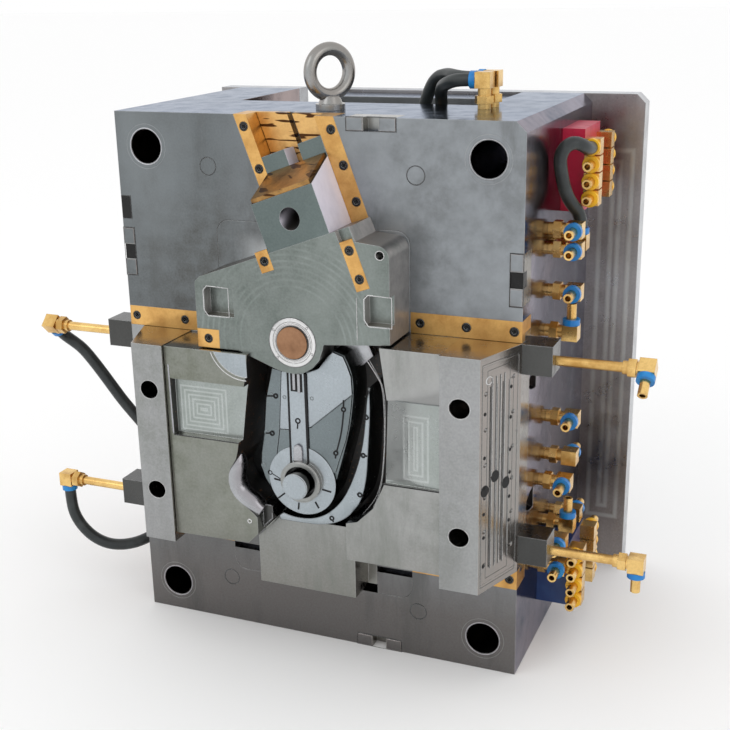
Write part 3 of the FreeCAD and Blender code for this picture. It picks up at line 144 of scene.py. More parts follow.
# the finishes and their painted light; top, side and sidePatch, the colours of upward and sideways faces, are
# partly the faces' own grinding and partly painted light and shade; marks are middle, half size and pitch of
# each field of nested cutter marks, rise is painted light, a paler colour towards the right, and matteSide is
# how dull the slanting sides are
steelFinishesAndPaintedLight = {
    # plateSteel's reddish side colour is a painted reflection
    "plateSteel": {
        "front": (0.155, 0.17, 0.177, 1), "patch": (0.105, 0.107, 0.104, 1),
        "rise": (0.31, 0.33, 0.35, 1), "top": (0.27, 0.285, 0.31, 1), "side": (0.45, 0.355, 0.325, 1),
        "low": (0.155, 0.143, 0.137, 1), "glance": (0.62, 0.68, 0.8, 1), "frontRough": 0.4,
        "sideRough": 0.17,
    },
    "slideSteel": {
        "front": (0.27, 0.285, 0.275, 1), "patch": (0.2, 0.215, 0.195, 1),
        "rise": (0.37, 0.37, 0.365, 1), "top": (0.36, 0.35, 0.34, 1), "side": (0.32, 0.29, 0.26, 1),
        "low": (0.23, 0.22, 0.2, 1), "frontRough": 0.38, "sideRough": 0.25,
    },
    "barSteel": {
        "front": (0.33, 0.335, 0.34, 1), "patch": (0.26, 0.27, 0.26, 1), "top": (0.36, 0.33, 0.31, 1),
        "side": (0.32, 0.29, 0.27, 1), "low": (0.3, 0.3, 0.3, 1), "frontRough": 0.34, "sideRough": 0.22,
    },
    "insertSteel": {
        "front": (0.25, 0.26, 0.235, 1), "patch": (0.17, 0.18, 0.145, 1), "top": (0.3, 0.29, 0.27, 1),
        "side": (0.2, 0.2, 0.19, 1), "low": (0.22, 0.215, 0.19, 1), "frontRough": 0.4, "sideRough": 0.25,
        "marks": [((-0.1195, 0.3085), (0.034, 0.031), 0.0052)],
    },
    "pocketSteel": {
        "front": (0.34, 0.37, 0.36, 1), "patch": (0.27, 0.3, 0.28, 1), "top": (0.3, 0.3, 0.3, 1),
        "side": (0.3, 0.3, 0.3, 1), "low": (0.32, 0.34, 0.33, 1), "frontRough": 0.3, "sideRough": 0.25,
        "marks": [((-0.1195, 0.3085), (0.034, 0.031), 0.0052), ((0.1475, 0.297), (0.019, 0.042), 0.0062)],
    },
    "topSlideSteel": {
        "front": (0.215, 0.24, 0.228, 1), "patch": (0.14, 0.163, 0.15, 1), "top": (0.5, 0.44, 0.4, 1),
        "side": (0.5, 0.46, 0.45, 1), "low": (0.2, 0.22, 0.21, 1), "frontRough": 0.36, "sideRough": 0.4,
        "matteSide": 0.75,
    },
    # carrierSteel's near-white side and sidePatch are painted light on its slanting side
    "carrierSteel": {
        "front": (0.135, 0.165, 0.162, 1), "patch": (0.12, 0.15, 0.145, 1), "top": (0.5, 0.44, 0.4, 1),
        "side": (0.86, 0.82, 0.92, 1), "sidePatch": (0.62, 0.58, 0.66, 1), "low": (0.2, 0.22, 0.21, 1),
        "frontRough": 0.36, "sideRough": 0.45, "matteSide": 0.9,
    },
    # coreSteel is the lit copy of the core's steel and coreShade the shaded one: painted light and painted
    # shade; their near-black sides, and coreShade's dark top, are painted shade of the walls deep in the
    # cavity
    "coreSteel": {
        "front": (0.37, 0.41, 0.44, 1), "patch": (0.31, 0.35, 0.37, 1), "top": (0.3, 0.3, 0.3, 1),
        "side": (0.05, 0.05, 0.05, 1), "low": (0.33, 0.35, 0.36, 1), "frontRough": 0.3,
        "sideRough": 0.15,
    },
    "coreShade": {
        "front": (0.175, 0.205, 0.215, 1), "patch": (0.15, 0.175, 0.18, 1), "top": (0.1, 0.1, 0.1, 1),
        "side": (0.03, 0.03, 0.03, 1), "low": (0.17, 0.2, 0.2, 1), "frontRough": 0.3, "sideRough": 0.15,
    },
    # lipSteel is paler than the steel around it so that the lip, the shoulder, the prongs and thin rims read
    # bright: partly painted highlight
    "lipSteel": {
        "front": (0.4, 0.41, 0.43, 1), "patch": (0.3, 0.31, 0.32, 1), "top": (0.5, 0.48, 0.5, 1),
        "side": (0.34, 0.32, 0.34, 1), "low": (0.4, 0.38, 0.4, 1), "frontRough": 0.24, "sideRough": 0.24,
    },
    # highlightSteel is the colour of thin rims, chamfers and edges that catch the light: painted highlight
    "highlightSteel": {
        "front": (0.72, 0.72, 0.72, 1), "patch": (0.55, 0.55, 0.55, 1), "top": (0.7, 0.7, 0.7, 1),
        "side": (0.6, 0.6, 0.6, 1), "low": (0.6, 0.6, 0.6, 1), "frontRough": 0.2, "sideRough": 0.2,
    },
    "clampSteel": {
        "front": (0.3, 0.295, 0.3, 1), "patch": (0.18, 0.165, 0.165, 1), "top": (0.42, 0.45, 0.5, 1),
        "side": (0.45, 0.46, 0.48, 1), "low": (0.22, 0.19, 0.175, 1), "frontRough": 0.32,
        "sideRough": 0.25, "marks": [((0.282, 0.325), (0.03, 0.262), 0.0145)],
    },
    "darkSteel": {
        "front": (0.075, 0.076, 0.074, 1), "patch": (0.06, 0.06, 0.058, 1), "top": (0.11, 0.11, 0.11, 1),
        "side": (0.09, 0.085, 0.082, 1), "low": (0.06, 0.06, 0.06, 1), "frontRough": 0.3,
        "sideRough": 0.25,
    },
    "blackSteel": {
        "front": (0.03, 0.03, 0.03, 1), "patch": (0.02, 0.02, 0.02, 1), "top": (0.05, 0.05, 0.05, 1),
        "side": (0.03, 0.03, 0.03, 1), "low": (0.03, 0.03, 0.03, 1), "frontRough": 0.3,
        "sideRough": 0.25,
    },
}
steelNoises = {
    "clouds": {"scale": 4.5, "detail": 7, "rough": 0.62},
    "spots": {"scale": 42, "detail": 5, "rough": 0.65},
    "grain": {"scale": 420, "detail": 2},
    "scars": {"scale": 13, "stretch": (1, 1, 0.2), "detail": 7, "rough": 0.72},
    "sheen": {"scale": 3.2, "stretch": (1.6, 1, 0.5), "detail": 4, "shift": (3, 0, 1)},
    "patches": {"scale": 18, "detail": 3},
}
steelWork = {
    "lighter": 1.75, "spotFloor": 0.35, "spotRelief": 0.6,
    "markColour": (0.62, 0.66, 0.65, 1), "markShare": 0.42, "markRelief": 1.6,
    "edgeHighlightColour": (0.62, 0.63, 0.63, 1), "edgeHighlightShare": 0.5, "edgeRadius": 0.0011,
    "slantedSide": (0.94, 0, 0.34), "unlitSide": (0.1, 0.1, 0.1, 1),
    "bumpStrength": 0.1, "bumpDistance": 0.0004,
}
topSlideMarks = {
    "middle": (0.002, 0.404), "near": 0.062, "far": 0.125, "pitch": 0.007,
    "share": 0.16, "colour": (0.5, 0.56, 0.54, 1),
    # the tail is painted shade on the slide's end that lies deep in its channel
    "tailStart": 0.558, "tailShadeColour": (0.075, 0.08, 0.08, 1),
}


def steelNoise(tree, name):
    return noise(tree, **steelNoises[name])


def steelFront(tree, finish, worn, grain, place):
    front = blendColour(tree, worn, finish["front"], finish["patch"])
    # painted light: the front grows paler towards the right, less so where the darker patches lie
    if "rise" in finish:
        across = spread(tree, place.outputs["X"], -0.12, 0.10)
        rise = calculate(tree, "MULTIPLY", across, spread(tree, worn, 0.9, 0, 0.55, 1))
        front = blendColour(tree, rise, front, finish["rise"])
    front = blendColour(tree, spread(tree, place.outputs["Z"], 0.2, 0.06), front, finish["low"])
    light = [min(1, part * steelWork["lighter"]) for part in finish["front"][:3]] + [1]
    front = mixIn(tree, front, light, grain, 0.3, 0.75, 0.2)
    front = mixIn(tree, front, finish["patch"], steelNoise(tree, "scars"), 0.52, 0.68, 0.6)
    return mixIn(tree, front, light, steelNoise(tree, "sheen"), 0.5, 0.68, 0.5)


def cutterMarks(tree, finish, front, relief, forward):
    for middle, half, pitch in finish.get("marks", []):
        stripes = calculate(tree, "MULTIPLY", nestedMarks(tree, middle, half, pitch), forward)
        share = calculate(tree, "MULTIPLY", stripes, steelWork["markShare"])
        front = blendColour(tree, share, front, steelWork["markColour"])
        relief = calculate(tree, "ADD", relief, calculate(tree, "MULTIPLY", stripes, steelWork["markRelief"]))
    return front, relief


def topSlideFront(tree, front, forward, height):
    # arcs about the plug, and painted shade: a dark end where the slide lies deep in its channel
    marks = topSlideMarks
    arcs = roundMarks(tree, marks["middle"], marks["near"], marks["far"], marks["pitch"])
    patches = spread(tree, steelNoise(tree, "patches"), 0.4, 0.6)
    share = calculate(tree, "MULTIPLY", calculate(tree, "MULTIPLY", arcs, forward),
                      calculate(tree, "MULTIPLY", patches, marks["share"]))
    front = blendColour(tree, share, front, marks["colour"])
    tailShade = calculate(tree, "GREATER_THAN", height, marks["tailStart"])
    return blendColour(tree, tailShade, front, marks["tailShadeColour"])


def makeSteel(name):
    finish = steelFinishesAndPaintedLight[name]
    material, tree, shader = newMaterial(name)
    clouds = spread(tree, steelNoise(tree, "clouds"), 0.38, 0.63)
    spots = spread(tree, steelNoise(tree, "spots"), 0.36, 0.7)
    grain = steelNoise(tree, "grain")
    place = add(tree, "SeparateXYZ", {"Vector": objectPlace(tree)})
    worn = calculate(tree, "MULTIPLY", clouds, calculate(tree, "ADD", spots, steelWork["spotFloor"]))
    relief = calculate(tree, "ADD", grain, calculate(tree, "MULTIPLY", spots, steelWork["spotRelief"]))
    forward = facing(tree, (0, -1, 0), 6)
    front = steelFront(tree, finish, worn, grain, place)
    front, relief = cutterMarks(tree, finish, front, relief, forward)
    if name == "topSlideSteel":
        front = topSlideFront(tree, front, forward, place.outputs["Z"])
    # sides and tops take colours of their own: partly the faces' own grinding, partly painted light and shade
    # as the light falls on them; on slanting finishes the sides turned away take the unlit side colour, a
    # painted shade
    side = mixIn(tree, finish["side"], finish.get("sidePatch", finish["patch"]), worn, 0, 1, 0.7)
    if "matteSide" in finish:
        slanted = facing(tree, steelWork["slantedSide"], 4)
        side = blendColour(tree, slanted, steelWork["unlitSide"], side)
    top = mixIn(tree, finish["top"], finish["patch"], clouds, 0, 1, 0.35)
    colour = blendColour(tree, forward, side, front)
    colour = blendColour(tree, facing(tree, (0, 0, 1)), colour, top)
    # painted highlight: at the edges, where the rounded normal turns away from the flat one, the colour is
    # blended towards a pale edge colour
    rounded = add(tree, "Bevel", {"Radius": steelWork["edgeRadius"]}, samples=4).outputs["Normal"]
    flat = add(tree, "NewGeometry").outputs["True Normal"]
    turned = add(tree, "VectorMath", {0: rounded, 1: flat}, operation="DOT_PRODUCT").outputs["Value"]
    colour = mixIn(tree, colour, steelWork["edgeHighlightColour"], turned, 0.985, 0.8, steelWork["edgeHighlightShare"])
    tree.links.new(colour, shader.inputs["Base Color"])
    rough = spread(tree, forward, 0, 1, finish["sideRough"], finish["frontRough"])
    rough = calculate(tree, "ADD", rough, spread(tree, spots, 0, 1, -0.05, 0.08))
    tree.links.new(rough, shader.inputs["Roughness"])
    shader.inputs["Specular Tint"].default_value = finish.get("glance", (1, 1, 1, 1))
    if "matteSide" in finish:
        matte = calculate(tree, "MULTIPLY", facing(tree, steelWork["slantedSide"], 8), finish["matteSide"])
        tree.links.new(calculate(tree, "SUBTRACT", 1.0, matte), shader.inputs["Metallic"])
    else:
        shader.inputs["Metallic"].default_value = 1.0
    bump = add(tree, "Bump", {"Height": relief, "Strength": steelWork["bumpStrength"],
                              "Distance": steelWork["bumpDistance"], "Normal": rounded})
    tree.links.new(bump.outputs["Normal"], shader.inputs["Normal"])
    return material


warmFinishes = {
    "bronzePlate": {
        "light": (0.74, 0.44, 0.15, 1), "dark": (0.5, 0.26, 0.08, 1), "rough": 0.34,
    },
    "bronzeWear": {
        "light": (0.76, 0.47, 0.18, 1), "dark": (0.5, 0.27, 0.1, 1), "rough": 0.36,
        "grooves": (0.08, 0.035, 0.015, 1),
    },
    "bronzeShade": {
        "light": (0.44, 0.25, 0.09, 1), "dark": (0.13, 0.075, 0.035, 1), "rough": 0.36,
        "grooves": (0.08, 0.035, 0.015, 1),
    },
    "brassFitting": {
        "light": (0.86, 0.58, 0.22, 1), "dark": (0.5, 0.28, 0.08, 1), "rough": 0.22,
    },
    "copperPlug": {
        "light": (0.36, 0.2, 0.115, 1), "dark": (0.22, 0.115, 0.065, 1), "rough": 0.4,
    },
}
warmNoises = {
    "stains": {"scale": 28, "detail": 6, "rough": 0.65},
    "fine": {"scale": 350, "detail": 2},
    "cuts": {"scale": 30, "stretch": (1, 1, 7), "detail": 1},
}


def makeWarmMetal(name):
    # bronze, brass and copper; a finish with grooves gives their colour
    finish = warmFinishes[name]
    material, tree, shader = newMaterial(name)
    stains = spread(tree, noise(tree, **warmNoises["stains"]), 0.42, 0.68)
    fine = noise(tree, **warmNoises["fine"])
    colour = blendColour(tree, stains, finish["light"], finish["dark"])
    colour = mixIn(tree, colour, finish["dark"], fine, 0.45, 0.8, 0.3)
    if "grooves" in finish:
        cuts = spread(tree, noise(tree, **warmNoises["cuts"]), 0.6, 0.63)
        colour = blendColour(tree, cuts, colour, finish["grooves"])
    tree.links.new(colour, shader.inputs["Base Color"])
    tree.links.new(spread(tree, stains, 0, 1, finish["rough"], finish["rough"] + 0.15),
                   shader.inputs["Roughness"])
    shader.inputs["Metallic"].default_value = 1.0
    softEdge(tree, shader, fine, 0.08)
    return material


plainFinishes = {
    "blackRubber": {"colour": (0.014, 0.019, 0.02, 1), "worn": (0.035, 0.042, 0.043, 1), "rough": 0.34},
    "bluePlastic": {"colour": (0.005, 0.17, 0.5, 1), "worn": (0.01, 0.26, 0.62, 1), "rough": 0.3},
    "yellowPlastic": {"colour": (0.9, 0.5, 0.015, 1), "worn": (0.75, 0.38, 0.01, 1), "rough": 0.3},
    "redPaint": {"colour": (0.5, 0.012, 0.05, 1), "worn": (0.35, 0.01, 0.04, 1), "rough": 0.3},
    "bluePaint": {"colour": (0.006, 0.03, 0.13, 1), "worn": (0.012, 0.05, 0.17, 1), "rough": 0.3},
    "blackHole": {"colour": (0.004, 0.004, 0.005, 1), "worn": (0.01, 0.01, 0.01, 1), "rough": 0.7},
    # near-black glossy colour for walls deep in the cavity: painted shade
    "cavityShade": {"colour": (0.006, 0.007, 0.007, 1), "worn": (0.02, 0.022, 0.022, 1), "rough": 0.16},
}


def makePlain(name):
    finish = plainFinishes[name]
    material, tree, shader = newMaterial(name)
    wear = noise(tree, 60, detail=4)
    colour = blendColour(tree, spread(tree, wear, 0.45, 0.75), finish["colour"], finish["worn"])
    tree.links.new(colour, shader.inputs["Base Color"])
    tree.links.new(spread(tree, wear, 0.3, 0.7, finish["rough"], finish["rough"] + 0.12),
                   shader.inputs["Roughness"])
    softEdge(tree, shader, wear, 0.12)
    return material


# the near-black wall colour is partly the cavity's own eroded surface and partly painted shade; the rusty
# specks are its own
cavityRustAndShade = {
    "specks": {"scale": 260, "detail": 3, "rough": 0.7}, "areas": {"scale": 22, "detail": 3},
    "wall": (0.012, 0.0105, 0.0095, 1), "rust": (0.3, 0.13, 0.05, 1), "rough": 0.38,
}


def makeCavityRustAndShade():
    # eroded cavity wall: almost black, partly its own eroded surface and partly painted shade of the deep
    # cavity, with rusty specks
    material, tree, shader = newMaterial("cavityRustAndShade")
    specks = spread(tree, noise(tree, **cavityRustAndShade["specks"]), 0.6, 0.68)
    areas = spread(tree, noise(tree, **cavityRustAndShade["areas"]), 0.42, 0.6)
    rusty = calculate(tree, "MULTIPLY", specks, areas)
    colour = blendColour(tree, rusty, cavityRustAndShade["wall"], cavityRustAndShade["rust"])
    tree.links.new(colour, shader.inputs["Base Color"])
    shader.inputs["Roughness"].default_value = cavityRustAndShade["rough"]
    softEdge(tree, shader, specks, 0.4)
    return material


materials = {name: makeSteel(name) for name in steelFinishesAndPaintedLight}
materials.update({name: makeWarmMetal(name) for name in warmFinishes})
materials.update({name: makePlain(name) for name in plainFinishes})
materials["cavityRustAndShade"] = makeCavityRustAndShade()
print("made", len(materials), "finishes")

nodeFinishes = {
    "plateSteel": ["core_plate", "spacer_block_left", "spacer_block_right", "return_pins", "guide_bushes",
                   "support_pillars", "stop_discs", "ejector_base_plate", "ejector_retainer_plate",
                   "bottom_guide_left", "bottom_guide_right"],
    "clampSteel": ["clamp_plate"],
    "barSteel": ["right_slide_body", "left_slide_body", "right_lock_plate", "left_lock_plate", "eye_bolt"],
    "slideSteel": ["bottom_slide", "side_locks"],
    "topSlideSteel": ["top_slide_body"],
    "carrierSteel": ["top_carrier"],
    # the plug's ring in the highlight colour: painted highlight on a real ring
    "highlightSteel": ["top_plug_ring"],
    "coreShade": ["ejector_pins"],
    "blackSteel": ["gib_screws", "top_strip_screws"],
    "darkSteel": ["clamp_screws", "right_port_blocks", "left_port_blocks", "return_springs"],
    "bronzePlate": ["gib_right_upper", "gib_right_lower", "gib_left_upper", "gib_left_lower",
                    "gib_top_left", "gib_top_right", "top_retainer_strips"],
    "bronzeShade": ["top_lock_plate"],
    "bronzeWear": ["top_wear_plates"],
    "copperPlug": ["top_plug"],
    "brassFitting": ["side_fittings", "right_pipes", "left_pipes", "manifold_nozzles"],
    "bluePlastic": ["side_fitting_collars", "right_pipe_collars", "left_pipe_collars"],
    "yellowPlastic": ["manifold_collars"],
    "redPaint": ["red_manifold"],
    "bluePaint": ["blue_manifold"],
}


def paintNodes():
    for finish, names in nodeFinishes.items():
        for name in names:
            nodes[name].data.materials.clear()
            nodes[name].data.materials.append(materials[finish])


paintNodes()


# modelling helpers
smoothAngle = 35
mergeDistance = 0.00001
crispEdge = 0.0001
fineEdge = 0.0003


def pickOnly(piece):
    bpy.ops.object.select_all(action="DESELECT")
    bpy.context.view_layer.objects.active = piece
    piece.select_set(True)


def settle(piece, finish, body="mould_base", sharp=smoothAngle):
    # place and turn go into the mesh, doubles are merged, then the piece gets its finish and its body
    pickOnly(piece)
    bpy.ops.object.transform_apply(location=True, rotation=True, scale=True)
    bpy.ops.object.mode_set(mode="EDIT")
    bpy.ops.mesh.select_all(action="SELECT")
    bpy.ops.mesh.remove_doubles(threshold=mergeDistance)
    bpy.ops.mesh.normals_make_consistent(inside=False)
    bpy.ops.object.mode_set(mode="OBJECT")
    bpy.ops.object.shade_smooth_by_angle(angle=math.radians(sharp))
    piece.data.materials.clear()
    piece.data.materials.append(materials[finish])
    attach(piece, body)
    return piece


def flatShape(name, points, front, back, bevel, smooth=False):
    # an outline in x and z, filled and thickened from front to back; a third value of 1 keeps a corner
    curve = bpy.data.curves.new(name, "CURVE")
    curve.dimensions = "2D"
    curve.fill_mode = "BOTH"
    curve.extrude = (back - front) / 2 - bevel
    curve.bevel_depth = bevel
    curve.bevel_resolution = 1
    curve.offset = -bevel
    curve.resolution_u = 8
    places = [point[:2] for point in points for _ in range(1 + int(len(point) > 2))]
    spline = curve.splines.new("NURBS" if smooth else "POLY")
    spline.points.add(len(places) - 1)
    for point, place in zip(spline.points, places):
        point.co = (place[0], place[1], 0, 1)
    if smooth:
        spline.order_u = 3
    spline.use_cyclic_u = True
    piece = bpy.data.objects.new(name, curve)
    bpy.context.scene.collection.objects.link(piece)
    piece.rotation_euler = (math.pi / 2, 0, 0)
    piece.location = (0, (front + back) / 2, 0)
    pickOnly(piece)
    bpy.ops.object.convert(target="MESH")
    return bpy.context.view_layer.objects.active


def corners(left, low, right, high):
    return [(left, low), (right, low), (right, high), (left, high)]


def line(points, depth, width, closed=False, flat=0.35, smooth=False, swell=None):
    # a thin raised or inlaid line on a face at the given depth
    curve = bpy.data.curves.new("line", "CURVE")
    curve.dimensions = "3D"
    curve.bevel_depth = width / 2
    curve.bevel_resolution = 6 if swell else 1
    curve.resolution_u = 6
    curve.use_fill_caps = True
    spline = curve.splines.new("NURBS" if smooth else "POLY")
    spline.points.add(len(points) - 1)
    for index, (point, place) in enumerate(zip(spline.points, points)):
        point.co = (place[0], 0, place[1], 1)
        point.radius = swell[index] if swell else 1
    if smooth:
        spline.order_u = 3
        spline.use_endpoint_u = not closed
    spline.use_cyclic_u = closed
    piece = bpy.data.objects.new("line", curve)
    bpy.context.scene.collection.objects.link(piece)
    piece.location = (0, depth, 0)
    piece.scale = (1, flat, 1)
    pickOnly(piece)
    bpy.ops.object.convert(target="MESH")
    piece = bpy.context.view_layer.objects.active
    bpy.ops.object.transform_apply(location=True, rotation=True, scale=True)
    return piece


def ring(x, z, depth, radius, width, flat=0.35, wide=1.0):
    bpy.ops.object.select_all(action="DESELECT")
    bpy.ops.mesh.primitive_torus_add(location=(x, depth, z), rotation=(math.pi / 2, 0, 0), major_segments=32,
                                     minor_segments=6, major_radius=radius, minor_radius=width / 2)
    piece = bpy.context.active_object
    piece.scale = (wide, 1, flat)
    bpy.ops.object.transform_apply(location=True, rotation=True, scale=True)
    return piece


def joinAs(name, pieces, finish, body="mould_base"):
    bpy.ops.object.select_all(action="DESELECT")
    for piece in pieces:
        piece.select_set(True)
    bpy.context.view_layer.objects.active = pieces[0]
    bpy.ops.object.join()
    piece = bpy.context.view_layer.objects.active
    piece.name = name
    return settle(piece, finish, body)


def cutOut(piece, tool):
    # boolean difference, applied; the tool is removed
    pickOnly(piece)
    change = piece.modifiers.new("cutOut", "BOOLEAN")
    change.object = tool
    change.operation = "DIFFERENCE"
    change.solver = "EXACT"
    bpy.ops.object.modifier_apply(modifier="cutOut")
    bpy.data.objects.remove(tool, do_unlink=True)


def copyOf(node, name):
    piece = bpy.data.objects.new(name, nodes[node].data.copy())
    bpy.context.scene.collection.objects.link(piece)
    pickOnly(piece)
    bpy.ops.object.mode_set(mode="EDIT")
    bpy.ops.mesh.select_all(action="SELECT")
    bpy.ops.mesh.remove_doubles(threshold=mergeDistance)
    bpy.ops.mesh.dissolve_limited(angle_limit=math.radians(1))
    bpy.ops.object.mode_set(mode="OBJECT")
    return piece


def sliceAt(piece, place, normal):
    # keeps the side that the normal points away from
    pickOnly(piece)
    bpy.ops.object.mode_set(mode="EDIT")
    bpy.ops.mesh.select_all(action="SELECT")
    bpy.ops.mesh.bisect(plane_co=place, plane_no=normal, use_fill=True, clear_outer=True)
    bpy.ops.object.mode_set(mode="OBJECT")


def paintFaces(piece, finish, choose):
    piece.data.materials.append(materials[finish])
    index = len(piece.data.materials) - 1
    for face in piece.data.polygons:
        if choose(face):
            face.material_index = index


# hoses, each a smooth spline through its given points, from collar to collar
hoseSize = 0.015
hoses = {
    "hose_manifold": {"length": 0.159, "points": [
        (0.283, 0.151, 0.6013), (0.283, 0.137, 0.6013), (0.281, 0.122, 0.607), (0.272, 0.112, 0.612),
        (0.263, 0.106, 0.607), (0.258, 0.105, 0.595), (0.259, 0.110, 0.579), (0.261, 0.117, 0.561),
        (0.266, 0.125, 0.544), (0.278, 0.134, 0.527), (0.278, 0.134, 0.513)]},
    "hose_top_front": {"length": 0.145, "points": [
        (0.154, 0.107, 0.678), (0.141, 0.107, 0.678), (0.128, 0.113, 0.675), (0.118, 0.125, 0.671),
        (0.109, 0.140, 0.667), (0.101, 0.159, 0.657), (0.098, 0.172, 0.638), (0.097, 0.176, 0.619),
        (0.097, 0.176, 0.600)]},
    "hose_top_back": {"length": 0.159, "points": [
        (0.157, 0.130, 0.678), (0.142, 0.130, 0.678), (0.126, 0.139, 0.679), (0.110, 0.157, 0.680),
        (0.091, 0.170, 0.675), (0.079, 0.175, 0.655), (0.073, 0.176, 0.635), (0.072, 0.176, 0.617),
        (0.072, 0.176, 0.600)]},
    "hose_left_upper": {"length": 0.209, "points": [
        (-0.380, 0.02885, 0.35865), (-0.380, 0.0372, 0.3503), (-0.374, 0.045, 0.341),
        (-0.362, 0.050, 0.330), (-0.350, 0.053, 0.314), (-0.338, 0.056, 0.296), (-0.325, 0.058, 0.277),
        (-0.311, 0.060, 0.257), (-0.296, 0.063, 0.238), (-0.284, 0.067, 0.221), (-0.278, 0.070, 0.206),
        (-0.278, 0.070, 0.190)]},
    "hose_left_lower": {"length": 0.195, "points": [
        (-0.380, 0.0175, 0.138), (-0.380, 0.0175, 0.120), (-0.377, 0.0175, 0.101), (-0.366, 0.018, 0.083),
        (-0.349, 0.021, 0.067), (-0.329, 0.029, 0.057), (-0.306, 0.042, 0.056), (-0.287, 0.059, 0.062),
        (-0.278, 0.077, 0.068), (-0.278, 0.094, 0.068)]},
}


def makeHose(name):
    points = hoses[name]["points"]
    curve = bpy.data.curves.new(name + "Skin", "CURVE")
    curve.dimensions = "3D"
    curve.bevel_depth = hoseSize / 2
    curve.bevel_resolution = 6
    curve.resolution_u = 12
    curve.use_fill_caps = True
    spline = curve.splines.new("NURBS")
    spline.points.add(len(points) - 1)
    for point, place in zip(spline.points, points):
        point.co = (*place, 1)
    spline.order_u = 3
    spline.use_endpoint_u = True
    skin = bpy.data.objects.new(name.replace("hose_", "hose") + "Skin", curve)
    bpy.context.scene.collection.objects.link(skin)
    curve.materials.append(materials["blackRubber"])
    return skin


def placeHoses():
    for name, hose in hoses.items():
        skin = makeHose(name)
        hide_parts(name)
        if name.startswith("hose_left"):
            pickOnly(skin)
            bpy.ops.object.convert(target="MESH")
            skin = bpy.context.view_layer.objects.active
            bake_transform(skin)
        else:
            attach(skin, "mould_base")


placeHoses()
print("laid", len(hoses), "hoses")


# the core: a slab at the bottom of the pocket with the moulding forms standing on it
core = {
    "front": -0.050,
    "edge": [(-0.0305, 0.368, 1), (-0.0398, 0.330), (-0.0444, 0.2866), (-0.0492, 0.262), (-0.0503, 0.245),
             (-0.0455, 0.228), (-0.030, 0.208), (-0.014, 0.195), (0.004, 0.1905), (0.0245, 0.1975),
             (0.0395, 0.217), (0.047, 0.2455), (0.0535, 0.2665), (0.0594, 0.2887), (0.0637, 0.3061),
             (0.0671, 0.3289), (0.0691, 0.3471), (0.0684, 0.3675), (0.0634, 0.3816), (0.0584, 0.391, 1),
             (0.0458, 0.395, 1), (0.0385, 0.3876), (0.0281, 0.3735, 1), (0.0113, 0.3665),
             (-0.010, 0.3655, 1)],
    "lightRight": [(0.0132, 0.3664), (0.0281, 0.3733), (0.0385, 0.387), (0.0458, 0.3942), (0.0580, 0.3902),
                   (0.0625, 0.3806), (0.0672, 0.3675), (0.0681, 0.3471), (0.0155, 0.3014), (0.0132, 0.3014)],
    "lightLeft": [(-0.0184, 0.3652), (-0.0116, 0.3652), (-0.0116, 0.2955), (-0.0234, 0.295)],
    "shadeRight": [(0.0132, 0.3004), (0.0157, 0.3004), (0.0678, 0.3456), (0.0660, 0.3289), (0.0625, 0.3061),
                   (0.0584, 0.2887), (0.0500, 0.2646), (0.0455, 0.2500), (0.030, 0.240), (0.0132, 0.250)],
    "shadeLeft": [(-0.0234, 0.2942), (-0.0116, 0.2947), (-0.0116, 0.255), (-0.0285, 0.262)],
    "strip": [(-0.0303, 0.3675), (-0.0190, 0.3655), (-0.0241, 0.295), (-0.0290, 0.262), (-0.0330, 0.250),
              (-0.0360, 0.236), (-0.0400, 0.222), (-0.0450, 0.230), (-0.0497, 0.244), (-0.0485, 0.262),
              (-0.0438, 0.2866), (-0.0393, 0.330)],
    "rib": [(0.0890, 0.358, 1), (0.0855, 0.342), (0.0841, 0.3227), (0.0800, 0.2886), (0.0722, 0.2591),
            (0.0614, 0.2315), (0.0492, 0.2108), (0.0310, 0.1940), (0.0120, 0.1862), (-0.008, 0.1850),
            (-0.0240, 0.1890, 1), (-0.0300, 0.1840, 1), (-0.0280, 0.1790, 1), (0.0000, 0.1790),
            (0.0247, 0.1800), (0.0486, 0.1870), (0.0666, 0.2025), (0.0771, 0.2194), (0.0842, 0.2465),
            (0.0871, 0.2896), (0.0897, 0.3234), (0.0896, 0.3509)],
    "floor": [(-0.060, 0.366), (-0.020, 0.366), (0.030, 0.3705), (0.044, 0.400), (0.1180, 0.404),
              (0.1180, 0.370), (0.1150, 0.262), (0.097, 0.222), (0.078, 0.198), (0.062, 0.180),
              (-0.040, 0.180), (-0.056, 0.204), (-0.0655, 0.232)],
    "floorFront": -0.0075, "floorBack": -0.0004, "back": -0.0005, "islandFront": -0.0466,
    "faceBack": -0.0462, "islandEdge": 0.0008, "ribEdge": 0.0014,
    # lit facets in coreSteel and shaded facets in coreShade, each as outline, lift and finish: painted light
    # and painted shade
    "faces": {
        "coreFaceRight": ("lightRight", 0.0, "coreSteel"),
        "coreFaceLeft": ("lightLeft", 0.0, "coreSteel"),
        "coreShadeRight": ("shadeRight", 0.0003, "coreShade"),
        "coreShadeLeft": ("shadeLeft", 0.0003, "coreShade"),
        "coreStrip": ("strip", 0.0004, "coreShade"),
    },
}


def makeCoreSlab():
    slab = copyOf("core_insert", "coreSlab")
    sliceAt(slab, (0, -0.0002, 0), (0, -1, 0))
    settle(slab, "plateSteel")
    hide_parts("core_insert")
    # painted shade: a dark sheet just in front of the slab over the cavity's floor, in the near-black cavity
    # colour with rusty specks
    floor = flatShape("cavityShadeSheet", core["floor"], core["floorFront"], core["floorBack"], fineEdge)
    settle(floor, "cavityRustAndShade")


